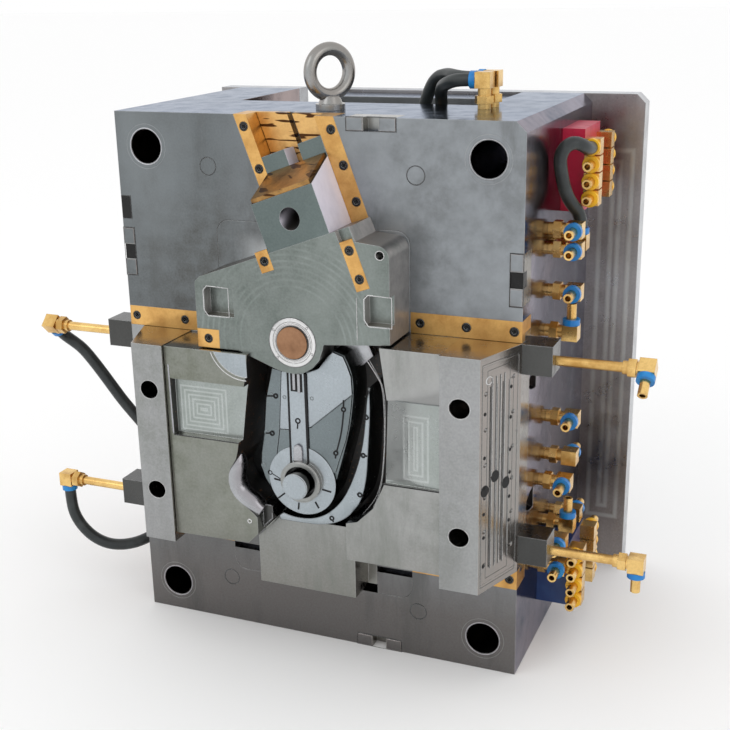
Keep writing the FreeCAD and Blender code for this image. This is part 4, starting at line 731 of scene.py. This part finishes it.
def makeCoreForms():
    island = flatShape("coreIsland", core["edge"], core["islandFront"], core["back"], core["islandEdge"],
                       smooth=True)
    settle(island, "coreShade")
    # painted shade: the island's side walls are near-black
    paintFaces(island, "cavityShade", lambda face: abs(face.normal.y) < 0.5)
    for name, (outline, lift, finish) in core["faces"].items():
        face = flatShape(name, core[outline], core["front"] + lift, core["faceBack"], fineEdge)
        settle(face, finish)
    rib = flatShape("coreRib", core["rib"], core["front"], core["back"], core["ribEdge"], smooth=True)
    settle(rib, "coreSteel")
    # painted shade: the rib's side walls above a height of 0.2 are near-black
    paintFaces(rib, "cavityShade", lambda face: abs(face.normal.y) < 0.3 and face.center.z > 0.2)


# the sloping shoulder over the cavity's upper right end, and the small bracket at its lower left one
shoulder = {
    "edge": [(0.0300, 0.3775), (0.0300, 0.3990), (0.0560, 0.4030), (0.0760, 0.4030), (0.0840, 0.3850),
             (0.0700, 0.3720), (0.0500, 0.3700)],
    "front": -0.022, "back": -0.007, "rounding": 0.003,
}
bracket = {
    "edge": [(-0.0490, 0.1660), (-0.0365, 0.1790), (-0.0365, 0.1960), (-0.0490, 0.1960)],
    "front": -0.0520, "back": -0.020, "rounding": 0.0008,
    "rims": [[(-0.0492, 0.1672), (-0.0492, 0.1965), (-0.0380, 0.1965)],
             [(-0.0480, 0.1700), (-0.0375, 0.1800), (-0.0375, 0.1870)]],
    "rimFront": -0.0522, "rimWidth": 0.0012,
}


def makeCoreShoulder():
    form = flatShape("coreShoulder", shoulder["edge"], shoulder["front"], shoulder["back"],
                     shoulder["rounding"])
    settle(form, "lipSteel")
    form = flatShape("cornerBracket", bracket["edge"], bracket["front"], bracket["back"], bracket["rounding"])
    settle(form, "darkSteel")
    rims = [line(points, bracket["rimFront"], bracket["rimWidth"]) for points in bracket["rims"]]
    joinAs("bracketRims", rims, "lipSteel")


tongue = {
    "edge": [(-0.0088, 0.2545), (0.0108, 0.2560), (0.0102, 0.3662), (-0.0088, 0.3655)],
    "front": -0.0516, "back": -0.045, "rounding": 0.0004,
    "gaps": [(-0.0114, 0.2545, -0.0086, 0.3658), (0.0103, 0.2545, 0.0130, 0.3658)],
    "gapFront": -0.0512, "gapBack": -0.0464,
    "slot": (-0.0066, 0.3435, 0.0082, 0.3652), "slotFront": -0.0519, "slotBack": -0.0514,
    "prongs": [(-0.0038, 0.3455), (0.0022, 0.3425)], "prongWidth": 0.0034, "prongTop": 0.3655,
    "prongFront": -0.0528, "prongBack": -0.0515, "prongRounding": 0.0005,
    "saddle": [(-0.0052, 0.258), (0.0058, 0.258), (0.0062, 0.272), (0.0048, 0.2775), (0.0003, 0.2800),
               (-0.0042, 0.2775), (-0.0055, 0.272)],
    "saddleFront": -0.0545, "saddleBack": -0.0514, "saddleRounding": 0.0014,
    "vent": (0.0009, 0.3081), "ventLine": [(0.0007, 0.3056), (0.0000, 0.2985)], "ventDepth": -0.0518,
    "ventRadius": 0.0027, "ventWidth": 0.0018,
}


def makeTongue():
    form = flatShape("coreTongue", tongue["edge"], tongue["front"], tongue["back"], tongue["rounding"])
    settle(form, "coreSteel")
    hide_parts("core_tongue")
    gaps = [flatShape("gap", corners(*place), tongue["gapFront"], tongue["gapBack"], crispEdge)
            for place in tongue["gaps"]]
    joinAs("tongueGaps", gaps, "blackHole")
    slot = flatShape("tongueSlot", corners(*tongue["slot"]), tongue["slotFront"], tongue["slotBack"],
                     crispEdge)
    settle(slot, "blackHole")
    prongs = [flatShape("prong", corners(left, low, left + tongue["prongWidth"], tongue["prongTop"]),
                        tongue["prongFront"], tongue["prongBack"], tongue["prongRounding"])
              for left, low in tongue["prongs"]]
    prongs.append(flatShape("saddle", tongue["saddle"], tongue["saddleFront"], tongue["saddleBack"],
                            tongue["saddleRounding"]))
    joinAs("tongueProngs", prongs, "lipSteel")
    vent = [ring(*tongue["vent"], tongue["ventDepth"], tongue["ventRadius"], tongue["ventWidth"]),
            line(tongue["ventLine"], tongue["ventDepth"], tongue["ventWidth"])]
    joinAs("tongueVent", vent, "blackHole")


hub = {"middle": (0.003, 0.234), "radius": 0.0425, "ring": 0.0252, "well": 0.0195, "boss": 0.0158,
       "thick": 0.008, "lift": 0.0006, "ringHigh": 0.006, "wellDeep": 0.0098, "bossHigh": 0.0232,
       "edgeWide": 0.0012, "edgeHigh": 0.0008}


def fromHub(face):
    return math.dist((face.center.x, face.center.z), hub["middle"])


def makeHub():
    # a disc whose front is stepped up to a ring, down to a well and up to the boss
    bpy.ops.object.select_all(action="DESELECT")
    x, z = hub["middle"]
    depth = core["front"] - hub["lift"] + hub["thick"] / 2
    bpy.ops.mesh.primitive_cylinder_add(vertices=72, radius=hub["radius"], depth=hub["thick"],
                                        location=(x, depth, z), rotation=(math.pi / 2, 0, 0))
    disc = bpy.context.active_object
    disc.name = "coreHub"
    bpy.ops.object.transform_apply(location=True, rotation=True, scale=True)
    front = min(disc.data.polygons, key=lambda face: face.center.y).index
    bpy.ops.object.mode_set(mode="EDIT")
    bpy.ops.mesh.select_mode(type="FACE")
    bpy.ops.mesh.select_all(action="DESELECT")
    bpy.ops.object.mode_set(mode="OBJECT")
    disc.data.polygons[front].select = True
    bpy.ops.object.mode_set(mode="EDIT")
    edge = (hub["edgeWide"], -hub["edgeHigh"])
    steps = [(hub["radius"] - hub["ring"], -hub["ringHigh"]), edge,
             (hub["ring"] - hub["well"] - hub["edgeWide"], hub["wellDeep"]),
             (hub["well"] - hub["boss"], -hub["bossHigh"]), edge]
    for width, rise in steps:
        bpy.ops.mesh.inset(thickness=width, depth=0)
        bpy.ops.mesh.extrude_region_move(TRANSFORM_OT_translate={"value": (0, rise, 0)})
    bpy.ops.object.mode_set(mode="OBJECT")
    settle(disc, "coreSteel")
    ringFront = core["front"] - hub["lift"] - hub["ringHigh"] - hub["edgeHigh"]
    # painted shade: the well between the ring and the boss is near-black
    paintFaces(disc, "cavityShade", lambda face: (
        hub["boss"] - 0.0004 < fromHub(face) < hub["well"] + 0.0003 and face.center.y > ringFront + 0.0005
        and (abs(face.normal.y) < 0.5 or face.center.y > -0.049)))
    paintFaces(disc, "slideSteel", lambda face: (
        hub["well"] < fromHub(face) < hub["ring"] + 0.0006 and face.center.y < core["front"] - 0.001))
    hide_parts("core_hub")


vents = {
    "depth": -0.0504, "lineWidth": 0.0019, "ringRadius": 0.0023, "slotLift": 0.0005, "slotWidth": 0.0022,
    "rings": [(0.0576, 0.3283), (0.0466, 0.2741), (-0.0270, 0.3345), (-0.0337, 0.2878), (-0.0382, 0.2382),
              (0.0849, 0.3223), (0.0803, 0.2759), (0.0752, 0.2267), (0.0392, 0.1915)],
    "lines": [[(0.0576, 0.3308), (0.0578, 0.3395)],
              [(0.0576, 0.3258), (0.0560, 0.311), (0.0529, 0.2935), (0.0478, 0.2765)],
              [(0.0464, 0.2716), (0.0460, 0.2676)], [(-0.0293, 0.3343), (-0.0385, 0.3334)],
              [(-0.0360, 0.2877), (-0.0420, 0.2871)], [(-0.0360, 0.2375), (-0.0240, 0.2315)],
              [(0.0871, 0.3223), (0.0885, 0.3221)],
              [(0.0825, 0.2759), (0.0855, 0.2757)], [(0.0770, 0.2260), (0.0795, 0.2245)],
              [(0.0400, 0.1895), (0.0412, 0.1872)]],
    "slots": [[(-0.0332, 0.2312), (-0.0225, 0.2298)], [(-0.0290, 0.2070), (-0.0185, 0.2160)],
              [(-0.0022, 0.2050), (-0.0032, 0.1965)], [(0.0190, 0.2095), (0.0232, 0.2020)],
              [(0.0285, 0.2266), (0.0395, 0.2250)]],
    "dowels": [(-0.0157, 0.3345), (0.0187, 0.3369), (-0.0163, 0.2620), (0.0201, 0.2640), (0.0330, 0.2290)],
    "dowelDepth": 0.0003, "dowelRadius": 0.0019, "dowelWidth": 0.0008,
    "centre": (-0.0006, -0.0650), "centreSize": 0.0006,
}
# painted highlights along edges of the cavity, drawn as thin bright lines: points, depth and width of each
cavityEdges = [
    ([(0.0834, 0.3852), (0.0943, 0.370), (0.1019, 0.3559), (0.1032, 0.316), (0.1018, 0.2736),
      (0.0971, 0.2328), (0.0829, 0.2072), (0.0679, 0.1915)], -0.040, 0.0017),
    ([(0.0900, 0.390), (0.1010, 0.372), (0.1075, 0.356), (0.1082, 0.316), (0.1060, 0.2736),
      (0.1010, 0.2308), (0.0880, 0.2060)], -0.050, 0.0008),
]


def makeVents():
    depth, width = vents["depth"], vents["lineWidth"]
    lines = [line(points, depth, width, smooth=len(points) > 2) for points in vents["lines"]]
    lines += [line(points, depth - vents["slotLift"], vents["slotWidth"]) for points in vents["slots"]]
    lines += [ring(x, z, depth, vents["ringRadius"], width) for x, z in vents["rings"]]
    joinAs("ventLines", lines, "blackHole")
    dots = [ring(x, z, depth + vents["dowelDepth"], vents["dowelRadius"], vents["dowelWidth"])
            for x, z in vents["dowels"]]
    shift, front = vents["centre"]
    size = vents["centreSize"]
    dots.append(ring(hub["middle"][0] + shift, hub["middle"][1], front, size, size))
    joinAs("dowelRings", dots, "coreShade")
    edges = [line(points, front, width, flat=1.0, smooth=True) for points, front, width in cavityEdges]
    joinAs("cavityEdges", edges, "highlightSteel")


def onCircle(middle, radius, angle):
    turn = math.radians(angle)
    return middle[0] + radius * math.cos(turn), middle[1] + radius * math.sin(turn)


# inserts of the side slides
leftInsert = {
    "front": -0.066, "back": -0.0006,
    "edge": [(-0.1625, 0.1475), (-0.0635, 0.1500), (-0.0520, 0.1615), (-0.0500, 0.1640), (-0.0500, 0.1850),
             (-0.0560, 0.1905), (-0.0640, 0.1965), (-0.0725, 0.2020), (-0.0790, 0.2080), (-0.0838, 0.2160),
             (-0.0858, 0.2250), (-0.0852, 0.2350), (-0.0825, 0.2430), (-0.0780, 0.2500), (-0.0740, 0.2570),
             (-0.0715, 0.2660), (-0.0690, 0.2800), (-0.0650, 0.3090), (-0.0605, 0.3400), (-0.0560, 0.3600),
             (-0.0530, 0.3860), (-0.1625, 0.3860)],
    "recess": (-0.1565, 0.2770, -0.0400, 0.3470), "recessFloor": -0.055, "recessRise": 0.0325,
    "recessEdge": [(-0.1560, 0.2765), (-0.0700, 0.2765)], "edgeWidth": 0.0016,
    "recessWall": [(-0.1578, 0.3640), (-0.1568, 0.2780)], "wallWidth": 0.0026,
    "eye": (-0.0605, 0.1788), "eyeRadius": 0.0024, "eyeWidth": 0.0018,
}
leftLip = {
    "points": [(-0.0770, 0.2600), (-0.0795, 0.2510), (-0.0825, 0.2430), (-0.0852, 0.2350), (-0.0858, 0.2250),
               (-0.0838, 0.2160), (-0.0790, 0.2080), (-0.0725, 0.2020), (-0.0640, 0.1965), (-0.0560, 0.1905),
               (-0.0500, 0.1870)],
    "radius": 0.0150, "ends": [0.3, 0.75, 0.95, 1, 1, 1, 1, 1, 1, 0.9, 0.7],
}
leftEar = {
    "middle": (-0.057, 0.400), "radius": 0.0455, "land": 0.004, "back": 0.002,
    "outerAngles": (200, 276, 6), "outerWidth": 0.0016, "innerAngles": (202, 276, 6), "innerWidth": 0.0010,
    "foot": [(-0.0545, 0.3855), (-0.0985, 0.3855)],
}
cutterFront = -0.080  # a cutting shape starts in front of every face


def makeLeftInsert():
    piece = flatShape("leftInsert", leftInsert["edge"], leftInsert["front"], leftInsert["back"], fineEdge)
    recess = leftInsert["recess"]
    tool = flatShape("recessTool", corners(*recess), cutterFront, leftInsert["recessFloor"], crispEdge)
    for vertex in tool.data.vertices:
        if vertex.co.z > recess[3] - 0.003 and vertex.co.y < -0.07:
            vertex.co.z += leftInsert["recessRise"]  # the upper wall of the recess slopes outwards
    cutOut(piece, tool)
    settle(piece, "insertSteel", "left_slide")
    # painted shade: the insert's walls that face into the cavity, and those around the lip, take the
    # near-black cavity colour with rusty specks
    paintFaces(piece, "cavityRustAndShade", lambda face: face.normal.x > 0.25 and face.center.z > 0.258)
    paintFaces(piece, "cavityRustAndShade", lambda face: (
        face.normal.x > -0.9 and face.center.y > -0.05 and 0.19 < face.center.z < 0.262))
    paintFaces(piece, "pocketSteel", lambda face: abs(face.center.y - leftInsert["recessFloor"]) < 0.0006)
    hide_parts("left_insert")


def makeLeftLip():
    radius = leftLip["radius"]
    lip = line(leftLip["points"], leftInsert["front"] + radius - 0.0002, 2 * radius, flat=1.0, smooth=True,
               swell=leftLip["ends"])
    lip.name = "leftInsertLip"
    pickOnly(lip)
    smoothing = lip.modifiers.new("smoothing", "SUBSURF")
    smoothing.levels = 2
    smoothing.render_levels = 2
    bpy.ops.object.modifier_apply(modifier="smoothing")
    settle(lip, "lipSteel", "left_slide", sharp=60)


def makeLeftRims():
    near, nearer = leftInsert["front"] - 0.0001, leftInsert["front"] - 0.0002
    middle, radius = leftEar["middle"], leftEar["radius"]
    outer = [onCircle(middle, radius, angle) for angle in range(*leftEar["outerAngles"])]
    inner = [onCircle(middle, radius - leftEar["land"], angle) for angle in range(*leftEar["innerAngles"])]
    edge = line(leftInsert["recessEdge"], near, leftInsert["edgeWidth"])
    joinAs("leftRecessEdge", [edge], "blackSteel", "left_slide")
    wall = line(leftInsert["recessWall"], near, leftInsert["wallWidth"])
    joinAs("leftRecessWall", [wall], "lipSteel", "left_slide")
    # painted highlights: the ear's two rims and the eye ring are thin lines in the highlight colour
    rims = [line(outer, nearer, leftEar["outerWidth"]), line(inner, near, leftEar["innerWidth"])]
    joinAs("leftInsertRims", rims, "highlightSteel", "left_slide")
    back = leftInsert["front"] + leftEar["back"]
    ear = flatShape("leftInsertEar", inner + leftEar["foot"], nearer, back, crispEdge)
    settle(ear, "coreSteel", "left_slide")
    eye = ring(*leftInsert["eye"], nearer, leftInsert["eyeRadius"], leftInsert["eyeWidth"])
    joinAs("leftInsertEye", [eye], "highlightSteel", "left_slide")


rightInsert = {
    "pocket": (0.1085, 0.2525, 0.1760, 0.3515), "pocketFloor": -0.062, "low": 0.1505, "front": -0.0662,
    "seams": [([(0.1095, 0.2520), (0.1765, 0.2520)], 0.0022), ([(0.1771, 0.1400), (0.1771, 0.4095)], 0.0016)],
    "edge": [(0.1255, 0.3520), (0.1760, 0.3520)], "edgeWidth": 0.0008,
}


def makeRightInserts():
    upper = copyOf("right_insert_upper", "rightInsertUpper")
    pocket = corners(*rightInsert["pocket"])
    tool = flatShape("pocketTool", pocket, cutterFront, rightInsert["pocketFloor"], crispEdge)
    cutOut(upper, tool)
    settle(upper, "slideSteel", "right_slide")
    paintFaces(upper, "pocketSteel", lambda face: abs(face.center.y - rightInsert["pocketFloor"]) < 0.0006)
    # painted shade: walls of the upper insert that face into the cavity are near-black
    paintFaces(upper, "cavityShade", lambda face: face.normal.x < -0.3)
    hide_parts("right_insert_upper")
    lower = copyOf("right_insert_lower", "rightInsertLower")
    sliceAt(lower, (0, 0, rightInsert["low"]), (0, 0, -1))
    settle(lower, "slideSteel", "right_slide")
    # painted shade: walls of the lower insert that face into the cavity, and its low upward faces, are
    # near-black
    paintFaces(lower, "cavityShade", lambda face: (
        face.normal.x < -0.3 or (face.normal.z > 0.4 and face.center.z < 0.24)))
    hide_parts("right_insert_lower")
    seams = [line(points, rightInsert["front"], width) for points, width in rightInsert["seams"]]
    joinAs("rightSeams", seams, "blackSteel", "right_slide")
    edge = line(rightInsert["edge"], rightInsert["front"], rightInsert["edgeWidth"])
    joinAs("rightEdges", [edge], "coreShade", "right_slide")


# small work on the plate, the bars and the top slide
plateRings = {
    "front": -0.0001,
    "bushes": {"across": (-0.208, 0.208), "up": (0.040, 0.606), "radius": 0.0211, "width": 0.0018},
    "returnPins": {"across": (-0.127, 0.127), "up": (0.060, 0.586), "radius": 0.0103, "width": 0.0011},
}
slideBores = {
    "right": [(0.2000, 0.353), (0.2000, 0.203)], "left": [(-0.1835, 0.331), (-0.1835, 0.203)],
    "front": -0.0701, "radius": 0.0116, "width": 0.0010, "wide": 1.05,
}


def platePattern(holes):
    return [ring(x, z, plateRings["front"], holes["radius"], holes["width"])
            for x in holes["across"] for z in holes["up"]]


def makePlateRings():
    # the bush rims in paler lipSteel and the bore rims in the highlight colour: painted highlights on their
    # chamfers
    joinAs("bushRims", platePattern(plateRings["bushes"]), "lipSteel")
    joinAs("returnPinRings", platePattern(plateRings["returnPins"]), "blackSteel")
    front, radius, width = slideBores["front"], slideBores["radius"], slideBores["width"]
    for side in ("right", "left"):
        rims = [ring(x, z, front, radius, width, wide=slideBores["wide"]) for x, z in slideBores[side]]
        joinAs(side + "BoreRims", rims, "highlightSteel", side + "_slide")


def makeSprings():
    # plain sleeves in place of the return springs, which shorten as the ejector set comes forward
    springs = copyOf("return_springs", "springSleeves")
    springs.data.materials.clear()
    springs.data.materials.append(materials["darkSteel"])
    bpy.ops.object.shade_smooth_by_angle(angle=math.radians(smoothAngle))
    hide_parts("return_springs")
    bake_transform(springs)


locks = {
    "width": 0.0188, "height": 0.0138, "front": -0.0010, "back": 0.001, "rounding": 0.0006,
    "endRows": (0.6318, 0.0006), "endColumns": (0.0475, 0.0857),
    "sideColumns": (0.2336, -0.2474), "sideRows": (0.4505, 0.4887),
    "gaps": [(0.0468, 0.6312, 0.1052, 0.6464), (0.0468, -0.0004, 0.1052, 0.0152),
             (0.2329, 0.4496, 0.2482, 0.5084), (-0.2482, 0.4496, -0.2329, 0.5084)],
    "gapFront": -0.0002, "gapWidth": 0.0012,
    "backs": [(-0.2479, 0.4690, -0.2336, 0.4890), (0.2336, 0.4690, 0.2479, 0.4890)],
    "backFront": 0.0008, "backDepth": 0.0300,
    "pocket": (-0.2478, 0.5190, -0.2345, 0.5470), "pocketFront": -0.0006, "smallRounding": 0.0004,
}


def makeLockFaces():
    wide, high, small = locks["width"], locks["height"], locks["smallRounding"]
    places = [(left, low, left + wide, low + high)
              for low in locks["endRows"] for left in locks["endColumns"]]
    places += [(left, low, left + high, low + wide)
               for left in locks["sideColumns"] for low in locks["sideRows"]]
    faces = [flatShape("lockFace", corners(*place), locks["front"], locks["back"], locks["rounding"])
             for place in places]
    joinAs("lockFaces", faces, "plateSteel")
    gaps = [line(corners(*place), locks["gapFront"], locks["gapWidth"], closed=True)
            for place in locks["gaps"]]
    gaps += [flatShape("lockBack", corners(*place), locks["backFront"], locks["backDepth"], small)
             for place in locks["backs"]]
    pocket = corners(*locks["pocket"])
    gaps.append(flatShape("lockPocket", pocket, locks["pocketFront"], locks["back"], small))
    joinAs("lockGaps", gaps, "blackSteel")


# the top slide's front: rims of its plug as radius, width, lift and flatness, two windows, a seam, an eye
topSlide = {
    "front": -0.0602, "plug": (0.002, 0.404),
    "highlightRims": [(0.0262, 0.0050, 0, 0.25), (0.0215, 0.0018, 0.0002, 0.35)],
    "darkRims": [(0.0191, 0.0014, 0.0003, 0.35), (0.0287, 0.0008, 0, 0.35)],
    "sockets": {"angles": (45, 150, 225, 335), "reach": 0.0262, "lift": 0.0004, "radius": 0.0012,
                "width": 0.0010},
    "windows": [(-0.107, 0.427), (0.090, 0.432)],
    "windowEdge": [(-0.001, 0.006), (0.004, -0.001), (0.031, -0.001), (0.031, 0.033), (0.004, 0.034),
                   (-0.001, 0.029)],
    "windowWidth": 0.0014, "seam": [(0.0805, 0.4145), (0.0805, 0.4620)], "seamWidth": 0.0010,
    "eye": (0.108, 0.510), "eyeRadius": 0.0050, "eyeWidth": 0.0012,
}


def plugRims(rims):
    return [ring(*topSlide["plug"], topSlide["front"] - lift, radius, width, flat)
            for radius, width, lift, flat in rims]


def makeTopSlideWork():
    front, sockets = topSlide["front"], topSlide["sockets"]
    # painted highlights: the plug's bright rims, the eye, the window outlines and the seam
    highlights = plugRims(topSlide["highlightRims"])
    highlights.append(ring(*topSlide["eye"], front, topSlide["eyeRadius"], topSlide["eyeWidth"]))
    for left, low in topSlide["windows"]:
        outline = [(left + across, low + up) for across, up in topSlide["windowEdge"]]
        highlights.append(line(outline, front, topSlide["windowWidth"], closed=True))
    highlights.append(line(topSlide["seam"], front, topSlide["seamWidth"]))
    joinAs("topSlideRims", highlights, "highlightSteel", "top_slide")
    dark = plugRims(topSlide["darkRims"])
    for angle in sockets["angles"]:
        place = onCircle(topSlide["plug"], sockets["reach"], angle)
        dark.append(ring(*place, front - sockets["lift"], sockets["radius"], sockets["width"]))
    joinAs("plugRings", dark, "blackSteel", "top_slide")


# the grooved plate on the right slide's slanting face, drawn flat and then swung round
lockFace = {
    "corner": (0.2226, -0.070), "angle": 70, "lift": 0.0001,
    "grooves": (0.021, 0.0285, 0.036, 0.0435), "grooveEnds": (0.162, 0.385), "grooveWidth": 0.0022,
    "landStep": 0.0018, "landWidth": 0.0010, "edgeWidth": 0.0012,
    "frame": [(0.0135, 0.152), (0.0135, 0.394), (0.0535, 0.394), (0.0535, 0.376), (0.060, 0.376),
              (0.060, 0.178), (0.0535, 0.178), (0.0535, 0.152)],
    "border": (0.0045, 0.143, 0.068, 0.402),
    "eye": (0.0165, 0.383), "eyeRadius": 0.0042, "eyeWidth": 0.0018, "eyeWide": 1.3,
    "smallHoles": {0.0095: (0.168, 0.203, 0.231, 0.262, 0.297, 0.347),
                   0.0560: (0.208, 0.237, 0.266, 0.293, 0.331, 0.366)}, "smallRadius": 0.0021,
    "largeHoles": [(0.0105, 0.258), (0.0290, 0.270), (0.0490, 0.256)], "largeRadius": 0.0068,
}


def onLockFace(piece):
    pickOnly(piece)
    piece.rotation_euler = (0, 0, math.radians(lockFace["angle"]))
    piece.location = (lockFace["corner"][0], lockFace["corner"][1], 0)
    bpy.ops.object.transform_apply(location=True, rotation=True, scale=True)
    return piece


def flatHole(place, radius):
    bpy.ops.object.select_all(action="DESELECT")
    bpy.ops.mesh.primitive_cylinder_add(vertices=24, radius=radius, depth=0.0006,
                                        location=(place[0], 0, place[1]), rotation=(math.pi / 2, 0, 0))
    piece = bpy.context.active_object
    bpy.ops.object.mode_set(mode="EDIT")
    bpy.ops.mesh.select_all(action="SELECT")
    bpy.ops.mesh.bevel(offset=0.00012, segments=1)
    bpy.ops.object.mode_set(mode="OBJECT")
    bpy.ops.object.transform_apply(location=True, rotation=True, scale=True)
    return piece


def grooveRow(shift, width):
    low, high = lockFace["grooveEnds"]
    return [line([(place + shift, low), (place + shift, high)], lockFace["lift"], width)
            for place in lockFace["grooves"]]


def makeLockFaceWork():
    lift, edgeWidth = lockFace["lift"], lockFace["edgeWidth"]
    grooves = grooveRow(0, lockFace["grooveWidth"])
    grooves += [line(points, lift, edgeWidth, closed=True)
                for points in (lockFace["frame"], corners(*lockFace["border"]))]
    onLockFace(joinAs("lockGrooves", grooves, "darkSteel", "right_slide"))
    # painted highlights: the lands beside the grooves and the eye ring
    highlights = grooveRow(lockFace["landStep"], lockFace["landWidth"])
    highlights.append(ring(*lockFace["eye"], lift, lockFace["eyeRadius"], lockFace["eyeWidth"],
                       wide=lockFace["eyeWide"]))
    onLockFace(joinAs("lockLands", highlights, "highlightSteel", "right_slide"))
    dots = [flatHole((across, up), lockFace["smallRadius"])
            for across, column in lockFace["smallHoles"].items() for up in column]
    dots += [flatHole(place, lockFace["largeRadius"]) for place in lockFace["largeHoles"]]
    onLockFace(joinAs("lockHoles", dots, "blackHole", "right_slide"))


makeCoreSlab()
makeCoreForms()
makeCoreShoulder()
makeTongue()
makeHub()
makeVents()
print("core done")
makeLeftInsert()
makeLeftLip()
makeLeftRims()
makeRightInserts()
print("slide inserts done")
makePlateRings()
makeSprings()
makeLockFaces()
makeTopSlideWork()
makeLockFaceWork()
print("small work done")


# camera and stage
camera = {
    "place": (0.56326, -1.19529, 0.78627), "turn": (72.0281, 1.0770, 22.3263),
    "focalLength": 58.57, "sensorWidth": 36, "farthest": 200,
}
stage = {
    "floorSize": 60, "floorHeight": -0.0005, "floorColour": (0.985, 0.985, 0.985, 1), "floorRough": 0.9,
    "light": (1, 1, 1, 1), "lightStrength": 1.0, "lampPower": 12, "lampAim": (0, 0, 0.3),
    "lamps": {"keyLamp": {"place": (-1.6, -2.4, 2.6), "size": 1.8, "share": 1.0},
              "fillLamp": {"place": (2.6, -1.2, 1.6), "size": 1.5, "share": 0.5}},
}


def makeCamera():
    data = bpy.data.cameras.new("mainCamera")
    data.lens = camera["focalLength"]
    data.sensor_width = camera["sensorWidth"]
    data.clip_end = camera["farthest"]
    eye = bpy.data.objects.new("mainCamera", data)
    eye.location = camera["place"]
    eye.rotation_euler = Euler([math.radians(angle) for angle in camera["turn"]])
    bpy.context.scene.collection.objects.link(eye)
    bpy.context.scene.camera = eye


def makeFloor():
    bpy.ops.object.select_all(action="DESELECT")
    bpy.ops.mesh.primitive_plane_add(size=stage["floorSize"], location=(0, 0, stage["floorHeight"]))
    floor = bpy.context.active_object
    floor.name = "studioFloor"
    material, _, shader = newMaterial("paleFloor")
    shader.inputs["Base Color"].default_value = stage["floorColour"]
    shader.inputs["Roughness"].default_value = stage["floorRough"]
    floor.data.materials.append(material)


def makeSurroundings():
    world = bpy.data.worlds.new("studioWorld")
    bpy.context.scene.world = world
    world.use_nodes = True
    background = world.node_tree.nodes["Background"]
    background.inputs["Strength"].default_value = stage["lightStrength"]
    background.inputs["Color"].default_value = stage["light"]


def makeLamps():
    for name, look in stage["lamps"].items():
        lamp = bpy.data.lights.new(name, "AREA")
        lamp.size = look["size"]
        lamp.energy = stage["lampPower"] * look["share"]
        holder = bpy.data.objects.new(name, lamp)
        holder.location = look["place"]
        aim = Vector(stage["lampAim"]) - Vector(look["place"])
        holder.rotation_euler = aim.to_track_quat("-Z", "Y").to_euler()
        bpy.context.scene.collection.objects.link(holder)


makeCamera()
makeFloor()
makeSurroundings()
makeLamps()
bpy.context.scene.view_settings.view_transform = "Standard"
print("stage and camera set")
